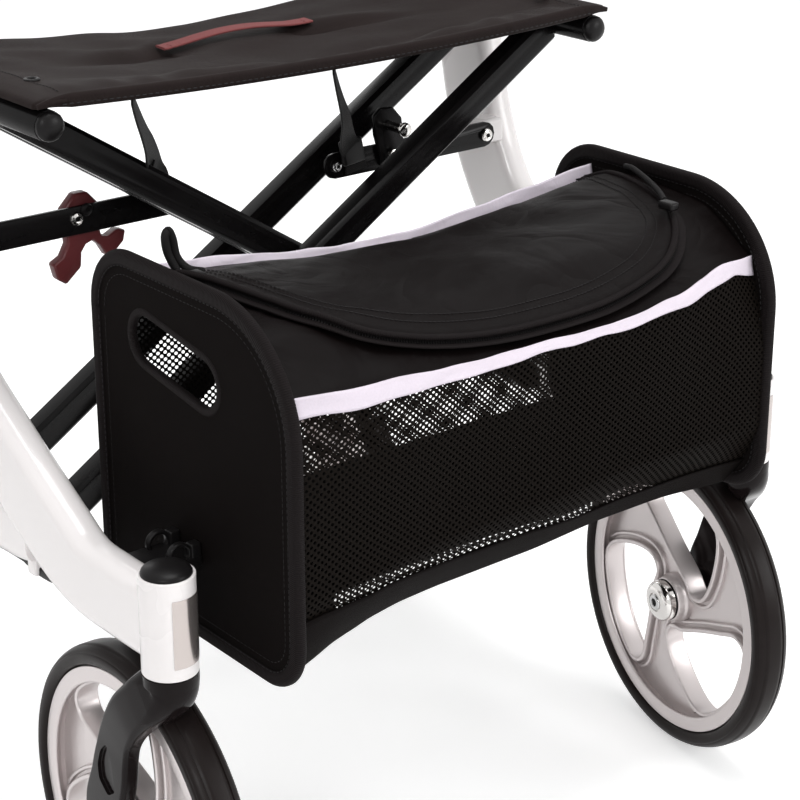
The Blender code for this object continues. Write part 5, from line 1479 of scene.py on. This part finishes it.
def rear_trim(u, v):
    x = (u * 2 - 1) * (BAG_CLOTH_HALF - 0.002)
    high, wide_at = read_line(REAR_TRIM_HIGH, x), read_line(REAR_TRIM_WIDE, x) + 0.002
    crumple = 0.0009 * noise.noise(Vector((x * 30, v * 1.5, 3.0)))
    return Vector((x, BAG_TOP_LINE[-1][0] - 0.0020 * v + crumple, high - v * wide_at + crumple))


def hang(made, nodes=()):
    """A piece of the bag rides on the right frame and gets its own copy of its mesh. A piece with a flat size
    is a sheet of cloth."""
    settle(made, "frame_right", *nodes)
    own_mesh(made)


def hang_sheet(name, columns, rows, at, look, tall, thickness=0.0, nodes=()):
    size = (2 * BAG_CLOTH_HALF, tall)
    hang(grid_piece(name, columns, rows, at, look, size, thickness), nodes)


def make_lid(around):
    """The lid inside the zip: rings of points from its edge to its middle, a rolled edge and two seams."""
    centre = Vector(LID_CENTRE)
    wide = len(around)
    verts, cloth = [], []
    for ring in range(LID_RINGS):
        share = 1 - max(ring - 2, 0) / (LID_RINGS - 2)
        for x, y in around:
            way = Vector((x, y)) - centre
            reach = way.length - LID_EDGE_INSETS[ring] if ring < 2 else share * (way.length - 0.0005)
            flat = centre + way * (reach / way.length)
            calm = min(1.0, max(0.0, (BAG_TOP_LINE[-1][0] - 0.004 - flat.y) / 0.030))
            inside = min(1.0, (1 - share) * 4) * calm
            place = Vector((flat.x * 10, flat.y * 17, 7.0))
            z = top_height(flat.x, flat.y)
            z += (LID_EDGE_RISES[min(ring, 2)] - 0.001) * calm + 0.001 + 0.0026 * inside
            z += 0.0034 * inside * (noise.noise(place) + 0.7 * noise.noise(place * 2.3))
            z -= 0.0026 * inside * abs(noise.noise(Vector((flat.x * 16 - flat.y * 26, flat.x * 11, 5.0))))
            z -= 0.0012 * exp(-(((1 - share) - 0.055) / 0.012) ** 2)
            verts.append((flat.x, flat.y, z))
            cloth.append((flat.x, flat.y))
    items = [piece("lid", verts, grid_faces(wide - 1, LID_RINGS - 1), NYLON, cloth, sharp=80)]
    edge = verts[2 * wide:3 * wide]
    items.append(sweep("roll", edge, section(0.0019, 0.0026, 0.0018), BINDING, normal=(0, 0, 1)))
    for ring in (4, 5):
        line = [(x, y, z + 0.0003) for x, y, z in verts[ring * wide:(ring + 1) * wide]]
        items.append(seam(line, 0.0034, 0.0024, 0.0004))
    hang(merge("bag_flap", items))


def make_bag():
    """The bag's sheets, its zip with two pulls, its lid and its two pale trims."""
    hang_sheet("bag_mesh_front", 120, 70, front_sheet, MESH, 0.195, nodes=["bag_body"])
    hang_sheet("bag_mesh_rear", 80, 44, rear_sheet, OPEN_MESH, 0.230)
    hang_sheet("bag_band", 120, 10, band_sheet, PANEL_CLOTH, 0.036, 0.0010)
    hang_sheet("bag_mesh_low", 60, 4, low_sheet, OPEN_MESH, 0.026)
    hang_sheet("bag_base", 40, 24, board_sheet, PANEL_CLOTH, 0.160, 0.0030)
    hang_sheet("bag_top", 140, 80, top_sheet, NYLON, 0.205, 0.0010)
    around = evenly(smooth_line(ZIP_LINE, 10), 180, closed=False)
    coil = [(x, y, top_height(x, y) + 0.0016) for x, y in around]
    tape = sweep("tape", coil, section(0.0008, 0.0075, 0.0007, 2), BINDING, normal=(0, 0, 1))
    teeth = seam([(x, y, z + 0.0012) for x, y, z in coil], 0.0019, 0.0012, 0.0019, PLASTIC)
    hang(merge("bag_zip", [tape, teeth]))
    make_lid(around)
    pulls = []
    for cord, radius, place, size, rounding in PULLS:
        pulls.append(sweep("pull", smooth_line(cord, 8), circle(radius, 10), WEB_TAPE, normal=(0.9, 0.1, 0.4),
                           sharp=60))
        pulls.append(block("slider", place, size, rounding, PLASTIC))
    hang(merge("bag_zip_pulls", pulls))
    hang_sheet("bag_trim_front", 140, 8, front_trim, TRIM, 0.012, 0.0010)
    hang_sheet("bag_trim_rear", 140, 8, rear_trim, TRIM, 0.012, 0.0010)


def make_back_strap():
    """The padded band behind the uprights."""
    level = upright_point(BACK_STRAP_LEVEL).z
    line = [(FRAME_X - inward, BACK_STRAP_Y + back) for inward, back in BACK_STRAP_LINE]
    points = [(-x, y) for x, y in line] + [(0, BACK_STRAP_Y + BACK_STRAP_REACH)] + line[::-1]
    strap = sweep("back_strap_fine", [(p.x, p.y, level) for p in smooth_line(points, 16)],
                  section(*BACK_STRAP_HALF, 0.0040, 5), SEAT_CLOTH, normal=(0, 0, 1))
    settle(strap, "frame_right", "back_strap")
    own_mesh(strap)


def dress_nodes():
    """The CAD nodes that keep their own shape."""
    for label, _ in SIDES:
        for kind, look, edge in (
                ("rear_carrier", PLASTIC, 0.0012), ("brake_shoe", STEEL, 0.0006),
                ("handle_tube", BLACK, 0.0), ("handle_grip", GRIP, 0.0006),
                ("brake_clamp", PLASTIC, 0.0006), ("brake_lever", PLASTIC, 0.0008),
                ("height_knob", PLASTIC, 0.0006), ("seat_tube", BLACK, 0.0006),
                ("seat_tube_cap", PLASTIC, 0.0004), ("pivot_tube", BLACK, 0.0006),
                ("fold_link", BLACK, 0.0004)):
            dress(f"{kind}_{label}", look, edge)
    for name in ("a_front", "a_rear", "b_front", "b_rear"):
        dress(f"cross_bar_{name}", BLACK, 0.0008)
    dress("centre_pivot_bolt", PLASTIC, 0.0005)
    dress("fold_clip", RED, 0.0007)
    dress("catch_plate", BLACK, 0.0004)
    dress("catch_pin", CHROME, 0.0004)


make_camera()
make_world()
make_floor()
make_lights()
for side_label, side_sign in SIDES:
    make_frame(side_label, side_sign)
    make_panel(side_label, side_sign)
    make_fork(side_label, side_sign)
make_wheels()
make_seat()
make_pull_strap()
make_webbings()
make_bolts()
make_bag()
make_back_strap()
dress_nodes()

bpy.context.scene.view_settings.view_transform = "Standard"
